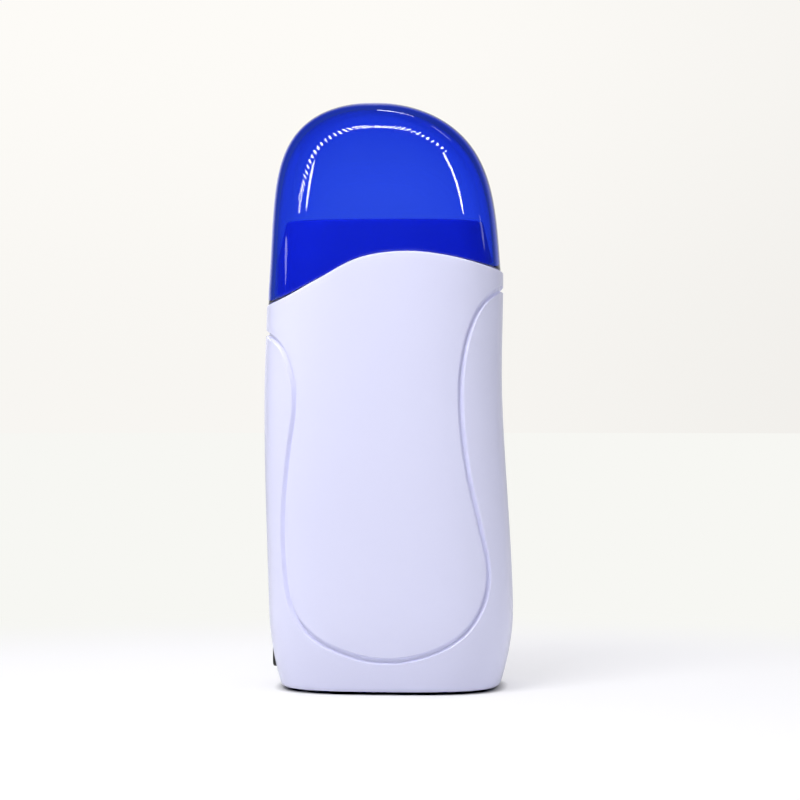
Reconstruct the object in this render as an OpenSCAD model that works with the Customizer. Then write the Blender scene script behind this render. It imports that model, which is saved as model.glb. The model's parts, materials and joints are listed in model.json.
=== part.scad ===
// Hand-held heater for a roll-on wax cartridge.
// A moulded body in two halves, split at its flanks, holds an aluminium well that a cartridge
// slides into from above. A translucent lid pulls off upwards over the white neck of the well.
// Millimetres. +Z is up, -Y is the plain face without a window, and +X is to its right.
// The origin is on the table, below the middle of the body.

/* [Body] */
// Full height, from the table to the top of the lid
total_h = 189.5; // [186:0.5:194]
// Width at the belly, the widest place
belly_w = 78.8; // [77:0.2:84]
// Depth at the belly
belly_d = 60; // [58.5:0.5:64]
// Height of the belly above the table
belly_z = 27; // [24:0.5:30]
// Width at the shoulder, below the lid
shoulder_w = 76.2; // [75:0.2:80]
// Depth at the shoulder
shoulder_d = 56.5; // [55.5:0.5:60]
// Height at which the body has come in to its shoulder
shoulder_z = 126; // [122:0.5:128]
// How far each flank comes in from the belly to the foot
foot_tuck_w = 4.4; // [3:0.1:5.5]
// How far the front and back come in from the belly to the foot
foot_tuck_d = 3.6; // [2.5:0.1:4.5]
// Squareness of the cross-section: 2 is an ellipse, more is squarer
section_power = 3; // [2.9:0.1:3.4]
// Wall of the two body halves
shell_wall = 2.2; // [1.8:0.1:2.4]
// Radius that takes the sharp corner off the rims of the body
rim_round = 0.5; // [0.3:0.1:0.8]
// Gap between the table and the lower rim of the body
body_lift = 0.8; // [0.6:0.1:1]

/* [Lean of the body] */
// Sideways place of the middle line at the foot
foot_lean = 0.5; // [-1:0.1:2]
// Sideways place of the middle line at the belly
belly_lean = 0.5; // [-1:0.1:2]
// Sideways place of the middle line at the waist
waist_lean = -2; // [-3:0.1:0]
// Height of the waist, where the hand goes round
waist_z = 92; // [86:0.5:98]
// Sideways place of the middle line at the neck
neck_lean = -1.4; // [-2.5:0.1:0]
// How far the top of the lid leans further than the neck
dome_lean = -4; // [-5:0.1:0]

/* [Parting line] */
// Height of the crest of the line between the body and the lid
crest_z = 139.6; // [137:0.2:142]
// How far the line drops from its crest to the left flank
parting_drop = 17.3; // [14:0.1:19]
// Open joint between the lid's rim and the body's rim
lid_gap = 0.35; // [0.3:0.05:0.5]

/* [Lid] */
// Wall of the lid
lid_wall = 1.8; // [1.5:0.1:2]
// How far the lid stands in from the face of the body
lid_inset = 0.4; // [0.3:0.1:0.7]
// Height at which the dome starts to curve in
dome_z = 128; // [124:0.5:132]
// Fullness of the dome as seen from the front
dome_power_w = 4.8; // [4:0.1:5.6]
// Fullness of the dome as seen from the side
dome_power_d = 5.2; // [4.4:0.1:6]
// How far each side of the lid comes in over its height, as a straight draft
lid_draft = 3.6; // [3:0.1:4]
// Thickness of the lid at its top
crown_wall = 2.2; // [1.8:0.1:2.8]

/* [Grip groove] */
// Width of the groove that frames the front and the back
groove_w = 1.7; // [1.3:0.1:2]
// Depth of the groove
groove_depth = 0.9; // [0.6:0.1:1.1]
// Height of the lowest point of the groove
groove_low = 10.9; // [10:0.1:12]
// Height at which the groove meets the right flank
groove_high = 128.6; // [124:0.2:130]

/* [Neck] */
// Height of the neck's rim above the table
neck_z = 150; // [148:0.5:153]
// Room between the flange of the well and the neck's rim at the flanks
neck_room_w = 2.3; // [1.5:0.1:3.3]
// Room between the flange of the well and the neck's rim at the front and the back
neck_room_d = 1.8; // [1.4:0.1:2.2]
// Wall of the neck
neck_wall = 1.8; // [1.5:0.1:2]
// Gap between the neck and the inside of the lid
neck_fit = 0.35; // [0.3:0.05:0.5]
// Gap between the neck's foot and the inside of the body
neck_seat_fit = 0.15; // [0.1:0.05:0.3]
// Height of the ledge in the body that carries the neck
ledge_z = 112; // [110:0.5:114]
// How far the ledge reaches inwards from the wall
ledge_reach = 2.6; // [1.8:0.1:3]
// Thickness of the ledge
ledge_t = 2; // [1.5:0.1:2.5]
// How far the deck round the well lies below the rim
deck_drop = 4; // [3:0.2:5]
// Thickness of the deck
deck_t = 2; // [1.6:0.1:2.4]

/* [Heating well] */
// Inside width of the well, for a cartridge of 100 ml
well_w = 52; // [50:0.5:53]
// Inside depth of the well
well_d = 36; // [34.5:0.5:36.5]
// Inside radius of the well's corners
well_r = 9; // [7:0.5:11]
// Wall of the well
well_wall = 1; // [0.8:0.1:1.2]
// Height of the underside of the well above the table
well_z = 37; // [35:0.5:40]
// How far the flange of the well stands out
flange_reach = 1.2; // [0.9:0.1:1.4]
// Thickness of the flange
flange_t = 1; // [0.8:0.1:1.4]
// Thickness of the silicone gasket between the flange and the deck
gasket_t = 1; // [0.8:0.1:1.6]
// Sideways place of the well
well_x = -1; // [-1.5:0.1:-0.5]

/* [Level window] */
// Width of the window that shows the wax
window_w = 14; // [10:0.5:16]
// Length of the window
window_h = 50; // [40:1:52]
// Height of the middle of the window
window_z = 80; // [76:0.5:81]
// Gap round the pane
window_fit = 0.1; // [0.05:0.05:0.2]
// How far the flange behind the wall holds the pane
window_lip = 1.5; // [1:0.1:2]

/* [Heater] */
// Width of the heating element
element_w = 32; // [28:0.5:36]
// Height of the heating element
element_h = 24; // [20:0.5:26]
// Thickness of the heating element
element_t = 4; // [3.4:0.1:4.4]
// Height of the lower edge of the heating element
element_z = 44; // [43:0.5:46]
// Thickness of the insulating sheet on the element
insulator_t = 0.6; // [0.4:0.1:0.8]
// Border of the insulating sheet round the element
insulator_border = 0.6; // [0.2:0.1:1]
// Thickness of the spring clips
clip_t = 0.6; // [0.4:0.1:0.8]
// Height of the clip on the element
clip_h = 12; // [8:0.5:16]
// Length of the thermostat
thermostat_l = 20; // [18:0.5:22]
// Width of the thermostat, upwards
thermostat_h = 7.6; // [6.5:0.1:8.5]
// Thickness of the thermostat and of the fuse
thermostat_t = 3.9; // [3.5:0.1:4.2]
// Height of the middle of the thermostat
thermostat_z = 79.5; // [77:0.5:84]
// Length of the thermal fuse
fuse_l = 11; // [9:0.5:12]

/* [Power inlet] */
// Height of the middle of the inlet
inlet_z = 13.2; // [12.4:0.1:14]
// Width of the inlet, along the depth of the body
inlet_w = 18.4; // [17.6:0.2:19]
// Height of the inlet
inlet_h = 12.8; // [11.8:0.2:13]
// How far the inlet's face lies in from the widest place of the flank
inlet_set_in = 2.1; // [1.6:0.1:2.4]
// Length of the inlet into the body
inlet_l = 16; // [15:0.5:17]
// Depth of the socket
socket_depth = 12.5; // [11:0.5:13]
// Radius of the two round ends of the socket
socket_r = 4.4; // [4.2:0.1:4.6]
// Distance between the middles of the round ends
socket_span = 7.4; // [7:0.1:7.8]
// Radius of each contact pin
pin_r = 1.2; // [1:0.05:1.3]
// Distance between the two contact pins
pin_span = 8.6; // [8.2:0.1:8.8]
// How far the tips of the pins lie behind the inlet's face
pin_drop = 3; // [2:0.5:4]
// Gap between the inlet and the body round it
inlet_fit = 0.2; // [0.1:0.05:0.3]

/* [Indicator light] */
// Height of the indicator light
light_z = 27; // [25:0.5:31]
// Radius of the lens in the wall
lens_r = 2.5; // [2:0.1:3]
// Gap round the lens
lens_fit = 0.1; // [0.05:0.05:0.2]
// Radius of the light-emitting diode
led_r = 1.5; // [1.4:0.1:2]
// Width of the circuit board
board_w = 24; // [20:0.5:26]
// Height of the circuit board
board_h = 11; // [9:0.5:12]
// Thickness of the circuit board
board_t = 1.6; // [1.2:0.2:2]
// Distance from the inside of the wall to the circuit board
board_gap = 5; // [4.5:0.1:5.5]

/* [Foot of the body] */
// Thickness of the base plate
plate_t = 3; // [2.8:0.1:3.4]
// How far the base plate lies above the lower rim of the body
plate_recess = 0.4; // [0.2:0.1:0.8]
// Gap between the base plate and the body
plate_fit = 0.15; // [0.1:0.05:0.3]
// Distance of the base screws from the inside of the flank
screw_in_w = 8.2; // [7:0.2:9]
// Distance of the base screws from the inside of the front or the back
screw_in_d = 7.7; // [7.2:0.1:8.2]
// Radius of the shank of a base screw
screw_r = 1.45; // [1.2:0.05:1.6]
// Length of the shank
screw_l = 10; // [8:0.5:12]
// Radius of the head of a base screw
head_r = 2.8; // [2.4:0.1:3]
// Height of the head
head_t = 1.7; // [1.4:0.1:1.9]
// Length of the cross recess in the head
cross_l = 3.2; // [2.6:0.1:3.6]
// Width of the cross recess
cross_w = 0.7; // [0.5:0.05:0.9]
// Radius of the screw bosses in the body
boss_r = 3.4; // [3:0.1:3.6]
// Radius of a foot pad
pad_r = 4; // [3:0.1:4.4]
// Sideways distance of each foot pad from its base screw
pad_apart = 10; // [8:0.5:12]
// Distance of the foot pads from the inside of the front or the back
pad_in_d = 7.2; // [6.5:0.1:8]
// How deep a foot pad sits in the base plate
pad_sink = 0.6; // [0.4:0.1:0.9]

/* [Leads] */
// Radius of an insulated lead
lead_r = 0.9; // [0.7:0.1:1]

/* [Hidden] */

// Colours
blue = [0.06, 0.14, 0.80, 0.75];
white = [0.87, 0.87, 0.96];
inner_white = [0.85, 0.86, 0.92];
bare_metal = [0.75, 0.76, 0.78];
black = [0.04, 0.04, 0.045];

// Points of each ring round the body, and rows from rim to rim
columns = 56;
body_rows = 14;
inner_rows = 6;
dome_rows = 11;
eps = 0.01;
reach = 200;

// Clearances that the fits inside the body share
contact_gap = 0.05;
cradle_fit = 0.2;
pilot_fit = 0.05;
head_fit = 0.3;
head_sunk = 0.2;
cross_deep = 1;
through_fit = 0.2;
pad_fit = 0.1;

// Heights of the lower parts
plate_z = body_lift + plate_recess;
plate_top = plate_z + plate_t;
head_seat = plate_z + head_t + head_sunk;
boss_h = screw_l;
boss_web = 1.5;
pilot_extra = 0.6;
foot_in_w = belly_w / 2 - foot_tuck_w - shell_wall;
foot_in_d = belly_d / 2 - foot_tuck_d - shell_wall;
screw_x = foot_in_w - screw_in_w;
screw_y = foot_in_d - screw_in_d;
pad_x = screw_x - pad_apart;
pad_y = foot_in_d - pad_in_d;
inlet_face_x = belly_w / 2 - inlet_set_in;

// The stand of the well has its four posts inside the screw bosses
cradle_t = 2.5;
cradle_lip = 4;
cradle_wall = 2;
post_r = 3;
post_room = 2.1;
post_x = screw_x - boss_r - post_room - post_r;
post_y = 11.5;

// Heights of the well and of what clamps it
deck_z = neck_z - deck_drop;
flange_top = deck_z - deck_t - gasket_t;
well_top = flange_top - flange_t;
well_out_w = well_w + 2 * well_wall;
well_out_d = well_d + 2 * well_wall;
well_out_r = well_r + well_wall;
front_y = -well_out_d / 2;
mouth_gap = 0.6;
neck_rim_w = well_out_w + 2 * (flange_reach + neck_room_w + neck_wall);
neck_rim_d = well_out_d + 2 * (flange_reach + neck_room_d + neck_wall);

// The middle line of the body leans from side to side: [height, sideways place]
lean_line = [[0, foot_lean], [belly_z, belly_lean], [waist_z, waist_lean],
    [shoulder_z + 2, neck_lean], [neck_z, neck_lean]];

// The parting line drops from its crest to both flanks:
// [share of the way out to a flank, share of the whole drop]
parting_shape = [[-1.1, 1], [-0.864, 0.832], [-0.55, 0.486], [-0.209, 0.116], [0.183, 0],
    [0.576, 0.092], [1.047, 0.364]];
parting_line = [for (p = parting_shape) [p[0] * shoulder_w / 2, crest_z - p[1] * parting_drop]];

// The groove runs down from the left flank, round the foot and up to the right flank:
// [angle from the middle of the face, share of the way from its lowest to its highest point]
groove_shape = [[-90, 0.882], [-71, 0.875], [-57, 0.847], [-48.8, 0.772], [-46.5, 0.683],
    [-50.4, 0.54], [-53.8, 0.405], [-54.4, 0.27], [-50.8, 0.144], [-39.5, 0.06], [-20, 0.014],
    [1.5, 0], [23, 0.015], [40.5, 0.063], [51.6, 0.147], [55.4, 0.237], [52.8, 0.338],
    [47.9, 0.498], [46, 0.658], [47.2, 0.793], [52, 0.904], [60.5, 0.968], [74, 0.995], [90, 1]];
groove_line = [for (p = groove_shape) [p[0], groove_low + p[1] * (groove_high - groove_low)]];

// ---- Curves -----------------------------------------------------------------------------

// Goes smoothly from 0 to 1 as t does
function ease(t) = (1 - cos(180 * min(max(t, 0), 1))) / 2;

// Slope at point i of a list of [place, value], from its neighbours
function slope(p, i) = let (a = max(0, i - 1), b = min(len(p) - 1, i + 1))
    (p[b][1] - p[a][1]) / (p[b][0] - p[a][0]);

// Index of the stretch of the list that holds x
function stretch(p, x, i = 0) = i >= len(p) - 2 || x < p[i + 1][0] ? i : stretch(p, x, i + 1);

// Value at x of the smooth curve through a list of [place, value]
function through(p, x) = let (
        held = min(max(x, p[0][0]), p[len(p) - 1][0]),
        i = stretch(p, held),
        w = p[i + 1][0] - p[i][0],
        t = (held - p[i][0]) / w)
    (2 * pow(t, 3) - 3 * pow(t, 2) + 1) * p[i][1] + (pow(t, 3) - 2 * pow(t, 2) + t) * w * slope(p, i)
    + (3 * pow(t, 2) - 2 * pow(t, 3)) * p[i + 1][1] + (pow(t, 3) - pow(t, 2)) * w * slope(p, i + 1);

// Point at stretch i, share t, of the smooth curve that passes through all the points
function glide(p, i, t) = let (
        n = len(p) - 1,
        a = p[max(i - 1, 0)], b = p[i], c = p[min(i + 1, n)], d = p[min(i + 2, n)])
    0.5 * (2 * b + (c - a) * t + (2 * a - 5 * b + 4 * c - d) * pow(t, 2)
    + (3 * b - a - 3 * c + d) * pow(t, 3));

// The whole smooth curve, with a number of steps on each stretch
function smooth_path(p, steps) = concat(
    [for (i = [0:len(p) - 2], s = [0:steps - 1]) glide(p, i, s / steps)], [p[len(p) - 1]]);

// ---- Skin of the body and the lid -------------------------------------------------------

function above_belly(z) = ease((z - belly_z) / (shoulder_z - belly_z));
function below_belly(z) = pow(max(belly_z - z, 0) / belly_z, 2);
function body_half_w(z) = belly_w / 2 - (belly_w - shoulder_w) / 2 * above_belly(z)
    - foot_tuck_w * below_belly(z);
function body_half_d(z) = belly_d / 2 - (belly_d - shoulder_d) / 2 * above_belly(z)
    - foot_tuck_d * below_belly(z);
function middle_x(z) = through(lean_line, z);

// Point at an angle of a rounded section, where 0 is the right flank and 270 the front
function section(angle, half_w, half_d, power = section_power) = let (
        c = abs(cos(angle)) / half_w, s = abs(sin(angle)) / half_d,
        r = pow(pow(c, power) + pow(s, power), -1 / power))
    [r * cos(angle), r * sin(angle)];

function at_height(xy, middle, z) = [xy[0] + middle, xy[1], z];
function body_skin(angle, z, inset) =
    at_height(section(angle, body_half_w(z) - inset, body_half_d(z) - inset), middle_x(z), z);

// Height of the parting line at an angle round the body
function parting_z(angle) = through(parting_line, body_skin(angle, shoulder_z, 0)[0]);

// The dome shrinks to nothing at its top, and a thicker crown lowers the inner one
function dome_share(z, top) = min(max((z - dome_z) / (top - dome_z), 0), 1);
function dome_fade(z, top, power) = sqrt(max(1 - pow(dome_share(z, top), power), 0.00001));
function lid_in(z) = lid_inset + lid_draft * dome_share(z, total_h);
function lid_skin(angle, z, inset, top) = at_height(
    section(angle, (shoulder_w / 2 - lid_in(z) - inset) * dome_fade(z, top, dome_power_w),
        (shoulder_d / 2 - lid_in(z) - inset) * dome_fade(z, top, dome_power_d)),
    middle_x(min(z, neck_z)) + dome_lean * pow(dome_share(z, top), 3), z);

// Depth of the back of the body at a place seen from behind
function back_y(x, z, inset) = let (
        share = min(abs(x - middle_x(z)) / (body_half_w(z) - inset), 0.98))
    (body_half_d(z) - inset) * pow(1 - pow(share, section_power), 1 / section_power);

// ---- Building blocks --------------------------------------------------------------------

function mean(p) = [for (k = [0:2]) [for (q = p) 1] * [for (q = p) q[k]] / len(p)];

// Joins rings of points into one closed solid. In a loop the last ring meets the first,
// and otherwise each end is closed by a fan.
module loft(rings, loop = false) {
    n = len(rings[0]);
    rows = len(rings);
    strips = loop ? rows : rows - 1;
    points = concat([for (r = rings) for (p = r) p], [mean(rings[0]), mean(rings[rows - 1])]);
    sides = [for (r = [0:strips - 1], c = [0:n - 1]) let (
            a = r * n + c, b = r * n + (c + 1) % n,
            d = ((r + 1) % rows) * n + c, e = ((r + 1) % rows) * n + (c + 1) % n)
        each [[a, d, e], [a, e, b]]];
    ends = loop ? [] : [for (c = [0:n - 1]) let (f = (c + 1) % n, last = (rows - 1) * n)
        each [[rows * n, c, f], [rows * n + 1, last + f, last + c]]];
    polyhedron(points, concat(sides, ends), convexity = 8);
}

function round_angles() = [for (i = [0:columns - 1]) 360 * i / columns];
function flat_ring(half_w, half_d, power, middle, z) =
    [for (a = round_angles()) at_height(section(a, half_w, half_d, power), middle, z)];

// Round-cornered rectangle with true arcs
module rounded(w, d, r) {
    square([w - 2 * r, d], center = true);
    square([w, d - 2 * r], center = true);
    for (x = [-1, 1], y = [-1, 1])
        translate([x * (w / 2 - r), y * (d / 2 - r)]) circle(r, $fn = 48);
}

module rounded_plate(w, d, r, t) linear_extrude(t) rounded(w, d, r);
module rounded_tube(w, d, r, wall, t) linear_extrude(t) difference() {
    rounded(w + 2 * wall, d + 2 * wall, r + wall);
    rounded(w, d, r);
}

// Puts copies at the four corners of a rectangle
module at_corners(x, y) for (sx = [-1, 1], sy = [-1, 1]) translate([sx * x, sy * y, 0]) children();

// Tube along a smooth path, with a frame that turns as little as it can
function unit(v) = v / norm(v);
function headings(path) = [for (i = [0:len(path) - 1])
    unit(path[min(i + 1, len(path) - 1)] - path[max(i - 1, 0)])];
function carried(t, u, i = 0, found = []) = i >= len(t) ? found :
    let (next = unit(u - (u * t[i]) * t[i])) carried(t, next, i + 1, concat(found, [next]));

module lead(points, steps = 2, sides = 8) {
    path = smooth_path(points, steps);
    t = headings(path);
    u = carried(t, abs(t[0][2]) < 0.7 ? [0, 0, 1] : [0, 1, 0]);
    loft([for (i = [0:len(path) - 1]) [for (k = [0:sides - 1])
        path[i] + lead_r * (cos(360 * k / sides) * u[i]
        + sin(360 * k / sides) * cross(t[i], u[i]))]]);
}

// ---- Lid --------------------------------------------------------------------------------

// Shares of the way up the dome, closer together where it turns over
dome_steps = [for (i = [0:dome_rows - 1]) sin(90 * i / dome_rows), sin(90 * (1 - 0.4 / dome_rows))];
function lid_ring(step, inset, top) = [for (a = round_angles()) let (
        rim = parting_z(a) + lid_gap)
    lid_skin(a, rim + (top - rim) * step, inset, top)];

module lid() color(blue) loft(concat(
    [for (i = [dome_rows:-1:0]) lid_ring(dome_steps[i], lid_wall, total_h - crown_wall)],
    [for (step = dome_steps) lid_ring(step, 0, total_h)]));

// ---- Body halves ------------------------------------------------------------------------

// One ring of the body, at a share of the way from the lower rim to the parting line
function body_ring(share, rise, inset) = [for (a = round_angles()) let (
        z = body_lift + share * (parting_z(a) - body_lift) + rise)
    body_skin(a, z, inset)];

// The open tube that both halves are cut from, with its rows closer together at the foot
module body_tube() loft(concat(
    [body_ring(0, 0, rim_round)],
    [body_ring(0, rim_round, 0)],
    [for (i = [1:body_rows]) body_ring(pow(i / (body_rows + 1), 1.4), 0, 0)],
    [body_ring(1, -rim_round, 0), body_ring(1, 0, rim_round)],
    [for (i = [inner_rows:-1:0]) body_ring(i / inner_rows, 0, shell_wall)]), loop = true);

// Narrow tongue inside the split that lines the two halves up
tongue_h = 1.2;
tongue_share = 0.5;
tongue_fit = 0.1;
tongue_low = 24;
tongue_rows = 6;
tongue_below = 2;
function tongue_z(i) =
    tongue_low + (ledge_z - ledge_t - tongue_below - tongue_low) * i / tongue_rows;
function tongue_ring(i, rise, inset) =
    [for (a = round_angles()) body_skin(a, tongue_z(i) + rise, inset)];
module tongue_band(grow) loft(concat(
    [tongue_ring(0, -grow, shell_wall + grow)],
    [for (i = [0:tongue_rows]) tongue_ring(i, i == 0 ? -grow : i == tongue_rows ? grow : 0,
        tongue_share * shell_wall + tongue_fit - grow)],
    [for (i = [tongue_rows:-1:1]) tongue_ring(i, i == tongue_rows ? grow : 0, shell_wall + grow)]),
    loop = true);

// Keeps only what lies within a slab along the depth of the body
module depth_slab(y0, y1) intersection() {
    children();
    translate([-reach, y0, -reach]) cube([2 * reach, y1 - y0, 3 * reach]);
}

// Ledge inside the wall that the neck stands on
module ledge() loft([for (row = [
        [-ledge_t, shell_wall - eps], [0, shell_wall - eps],
        [0, shell_wall + ledge_reach], [-ledge_t, shell_wall + ledge_reach]])
    [for (a = round_angles()) body_skin(a, ledge_z + row[0], row[1])]], loop = true);

// Chain of rounded cuts along the groove on the front
module groove_cut() {
    path = smooth_path(groove_line, 2);
    spots = [for (p = path) body_skin(270 + p[0], p[1], groove_depth - groove_w / 2)];
    for (i = [0:len(spots) - 2]) hull() for (k = [i, i + 1])
        translate(spots[k]) sphere(groove_w / 2, $fn = 8);
}

// Screw bosses of the front half, webbed to the wall
module bosses() for (side = [-1, 1]) intersection() {
    union() {
        translate([side * screw_x, -screw_y, plate_top]) cylinder(r = boss_r, h = boss_h, $fn = 32);
        translate([side * screw_x - boss_web / 2, -reach, plate_top])
            cube([boss_web, reach - screw_y, boss_h]);
        translate([side * screw_x - (side < 0 ? reach : 0), -screw_y - boss_web / 2, plate_top])
            cube([reach, boss_web, boss_h]);
    }
    foot_filler();
}

// Solid plug of the inside of the body, down at the foot, that reaches a little into the wall
filler_bite = 0.1;
filler_rows = 6;
module foot_filler() loft([for (i = [0:filler_rows])
    [for (a = round_angles()) body_skin(a, i / filler_rows * (plate_top + 2 * boss_h),
        shell_wall - filler_bite)]]);

module boss_pilots() for (side = [-1, 1]) translate([side * screw_x, -screw_y, 0])
    cylinder(r = screw_r + pilot_fit, h = head_seat + screw_l + pilot_extra, $fn = 24);

// Hole in the left flank for the inlet
module inlet_hole() translate([-inlet_face_x - 2, 0, inlet_z]) rotate([90, 0, 90])
    rounded_plate(inlet_w + 2 * inlet_fit, inlet_h + 2 * inlet_fit, inlet_corner + inlet_fit, inlet_l);

// Half of the body on the side of the groove, before the back gets its own features
module plain_half() {
    difference() {
        union() {
            depth_slab(-reach, 0) union() {
                body_tube();
                ledge();
            }
            bosses();
        }
        groove_cut();
        boss_pilots();
        inlet_hole();
    }
}

module front_shell() color(white) union() {
    plain_half();
    depth_slab(-tongue_h / 2, tongue_h) tongue_band(0);
}

module rear_shell() color(white) difference() {
    union() {
        mirror([0, 1, 0]) plain_half();
        board_posts();
    }
    depth_slab(-eps, tongue_h + tongue_fit) tongue_band(tongue_fit);
    window_hole();
    translate([light_x, 0, light_z]) rotate([-90, 0, 0])
        cylinder(r = lens_r + lens_fit, h = reach, $fn = 32);
}

// ---- Level window -----------------------------------------------------------------------

// Ring of the pane: an outline with round ends, laid on the back of the body
function pane_outline(w, h, n = 32) = [for (i = [0:n - 1]) let (
        a = 360 * (i + 0.5) / n, side = a < 180 ? 1 : -1)
    [w / 2 * cos(a), w / 2 * sin(a) + side * (h - w) / 2]];
function pane_ring(share, grow, inset) = [for (p = pane_outline(window_w, window_h)) let (
        q = share * (p + grow * unit(p)), x = well_x + q[0], z = window_z + q[1])
    [x, back_y(x, z, inset), z]];

module window_hole() translate([well_x, 0, window_z]) rotate([-90, 0, 0]) linear_extrude(reach)
    hull() for (s = [-1, 1]) translate([0, s * (window_h - window_w) / 2])
        circle(window_w / 2 + window_fit, $fn = 32);

pane_t = shell_wall + 0.1;
pane_flange_t = 1;
module level_window() color([0.8, 0.87, 0.95, 0.4]) loft(concat(
    [for (s = [0.3, 0.65, 1]) pane_ring(s, 0, 0.05)],
    [pane_ring(1, 0, pane_t), pane_ring(1, window_lip, pane_t)],
    [pane_ring(1, window_lip, pane_t + pane_flange_t)],
    [for (s = [0.65, 0.3]) pane_ring(s, 0, pane_t + pane_flange_t)]));

// ---- Neck and well ----------------------------------------------------------------------

taper_drop = 3;
taper_z = crest_z - taper_drop;
neck_half_w = shoulder_w / 2 - lid_in(taper_z) - lid_wall - neck_fit;
neck_half_d = shoulder_d / 2 - lid_in(taper_z) - lid_wall - neck_fit;
neck_foot_h = 2;
rim_soften = 0.7;
mouth_power = 6;

rim_h = 1;
neck_top = neck_z - rim_h;
taper_ease = 1;

// Half width and half depth of the neck's taper at a height
function taper(z) = let (t = max(z - taper_z, 0) / (neck_top - taper_z))
    [neck_half_w, neck_half_d] * (1 - t) + [neck_rim_w, neck_rim_d] / 2 * t;

// Ring of the neck, which follows the lean of the body
function neck_ring(z, half, inset = 0) =
    flat_ring(half[0] - inset, half[1] - inset, section_power, middle_x(z), z);
function mouth_ring(z) = flat_ring(well_w / 2 + mouth_gap, well_d / 2 + mouth_gap, mouth_power,
    well_x, z);

module neck_collar() color(inner_white) {
    foot = [body_half_w(ledge_z), body_half_d(ledge_z)];
    foot_inset = shell_wall + neck_seat_fit;
    under_deck = deck_z - deck_t;
    loft([
        neck_ring(ledge_z, foot, foot_inset),
        neck_ring(ledge_z + neck_foot_h, foot, foot_inset),
        neck_ring(ledge_z + neck_foot_h, taper(taper_z)),
        neck_ring(taper_z, taper(taper_z)),
        neck_ring(neck_top, taper(neck_top)),
        neck_ring(neck_z, taper(neck_top), rim_soften),
        neck_ring(neck_z, taper(neck_top), neck_wall),
        neck_ring(deck_z, taper(neck_top), neck_wall),
        mouth_ring(deck_z),
        mouth_ring(under_deck),
        neck_ring(under_deck, taper(under_deck), neck_wall),
        neck_ring(taper_z - taper_ease, taper(taper_z), neck_wall),
        neck_ring(ledge_z, taper(taper_z), neck_wall)], loop = true);
}

module well_gasket() color([0.75, 0.3, 0.25]) translate([well_x, 0, flange_top])
    rounded_tube(well_w + 2 * mouth_gap, well_d + 2 * mouth_gap, well_r + mouth_gap,
        well_wall + flange_reach - mouth_gap, gasket_t);

module heating_well() color(bare_metal) translate([well_x, 0, 0]) {
    difference() {
        union() {
            translate([0, 0, well_z]) rounded_plate(well_out_w, well_out_d, well_out_r,
                flange_top - well_z);
            translate([0, 0, well_top]) rounded_plate(well_out_w + 2 * flange_reach,
                well_out_d + 2 * flange_reach, well_out_r + flange_reach, flange_t);
        }
        translate([0, 0, well_z + well_wall]) rounded_plate(well_w, well_d, well_r, reach);
        // Slot behind the window
        translate([-window_w / 2, 0, window_z - window_h / 2 + window_w / 2])
            cube([window_w, reach, window_h - window_w]);
    }
}

// Moulded stand that carries the underside of the well above the base plate
module well_cradle() color([0.82, 0.8, 0.74]) translate([well_x, 0, 0]) {
    translate([0, 0, well_z - cradle_t]) difference() {
        rounded_plate(well_out_w + 2 * cradle_fit + 2 * cradle_wall,
            well_out_d + 2 * cradle_fit + 2 * cradle_wall, well_out_r + cradle_wall,
            cradle_t + cradle_lip);
        translate([0, 0, cradle_t]) rounded_plate(well_out_w + 2 * cradle_fit,
            well_out_d + 2 * cradle_fit, well_out_r, reach);
        translate([0, 0, -eps]) rounded_plate(well_w / 2, well_d / 2, well_r / 2, cradle_t + 1);
    }
    // Posts that stand on the base plate
    translate([0, 0, plate_top]) at_corners(post_x, post_y)
        cylinder(r = post_r, h = well_z - cradle_t - plate_top, $fn = 32);
}

// ---- Heater, thermostat and fuse --------------------------------------------------------

module front_block(w, h, t, y, z) translate([well_x - w / 2, y - t, z]) cube([w, t, h]);

module ptc_heater() color([0.7, 0.7, 0.72]) {
    front_block(element_w, element_h, element_t, front_y, element_z);
    // Two solder tabs at the top edge
    for (s = [-1, 1]) translate([s * tab_x, 0, 0])
        front_block(tab_w, tab_h + eps, tab_t, front_y - element_t / 2 + tab_t / 2,
            element_z + element_h - eps);
}
tab_x = 12;
tab_w = 4.8;
tab_h = 3;
tab_t = 0.8;

module heater_insulator() color([0.9, 0.75, 0.35])
    front_block(element_w + 2 * insulator_border, element_h, insulator_t,
        front_y - element_t, element_z);

// Taut outline round the well and a flat item on its front
module clip_outline(item_w, item_t, grow) hull() {
    for (s = [-1, 1]) {
        translate([s * (well_out_w / 2 - well_out_r), well_out_d / 2 - well_out_r])
            circle(well_out_r + grow, $fn = 32);
        translate([s * (well_out_w / 2 - well_out_r), -well_out_d / 2 + well_out_r])
            circle(well_out_r + grow, $fn = 32);
        translate([s * item_w / 2, front_y - item_t]) circle(grow, $fn = 16);
    }
}

// Spring clip, open at the back, that holds an item against the well
clip_mouth = 30;
module spring_clip(item_w, item_t, z, h) translate([well_x, 0, z]) linear_extrude(h) difference() {
    clip_outline(item_w, item_t, contact_gap + clip_t);
    clip_outline(item_w, item_t, contact_gap);
    translate([-clip_mouth / 2, 0]) square([clip_mouth, reach]);
}

module heater_clip() color(bare_metal) spring_clip(element_w + 2 * insulator_border,
    element_t + insulator_t, element_z + (element_h - clip_h) / 2, clip_h);

// The thermostat lies flat, and the fuse stands upright beside it under the same clip
sensor_space = 2;
sensor_w = thermostat_l + sensor_space + thermostat_t;
sensor_left = well_x - sensor_w / 2;
sensor_right = well_x + sensor_w / 2;
sensor_mid_y = front_y - thermostat_t / 2;
sensor_low = thermostat_z - thermostat_h / 2;
sensor_high = thermostat_z + thermostat_h / 2;
fuse_x = sensor_right - thermostat_t / 2;
fuse_rise = 0.8;
fuse_z = sensor_low + fuse_rise;

module thermostat() color([0.2, 0.2, 0.22])
    translate([sensor_left, front_y - thermostat_t, sensor_low])
        cube([thermostat_l, thermostat_t, thermostat_h]);

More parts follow.
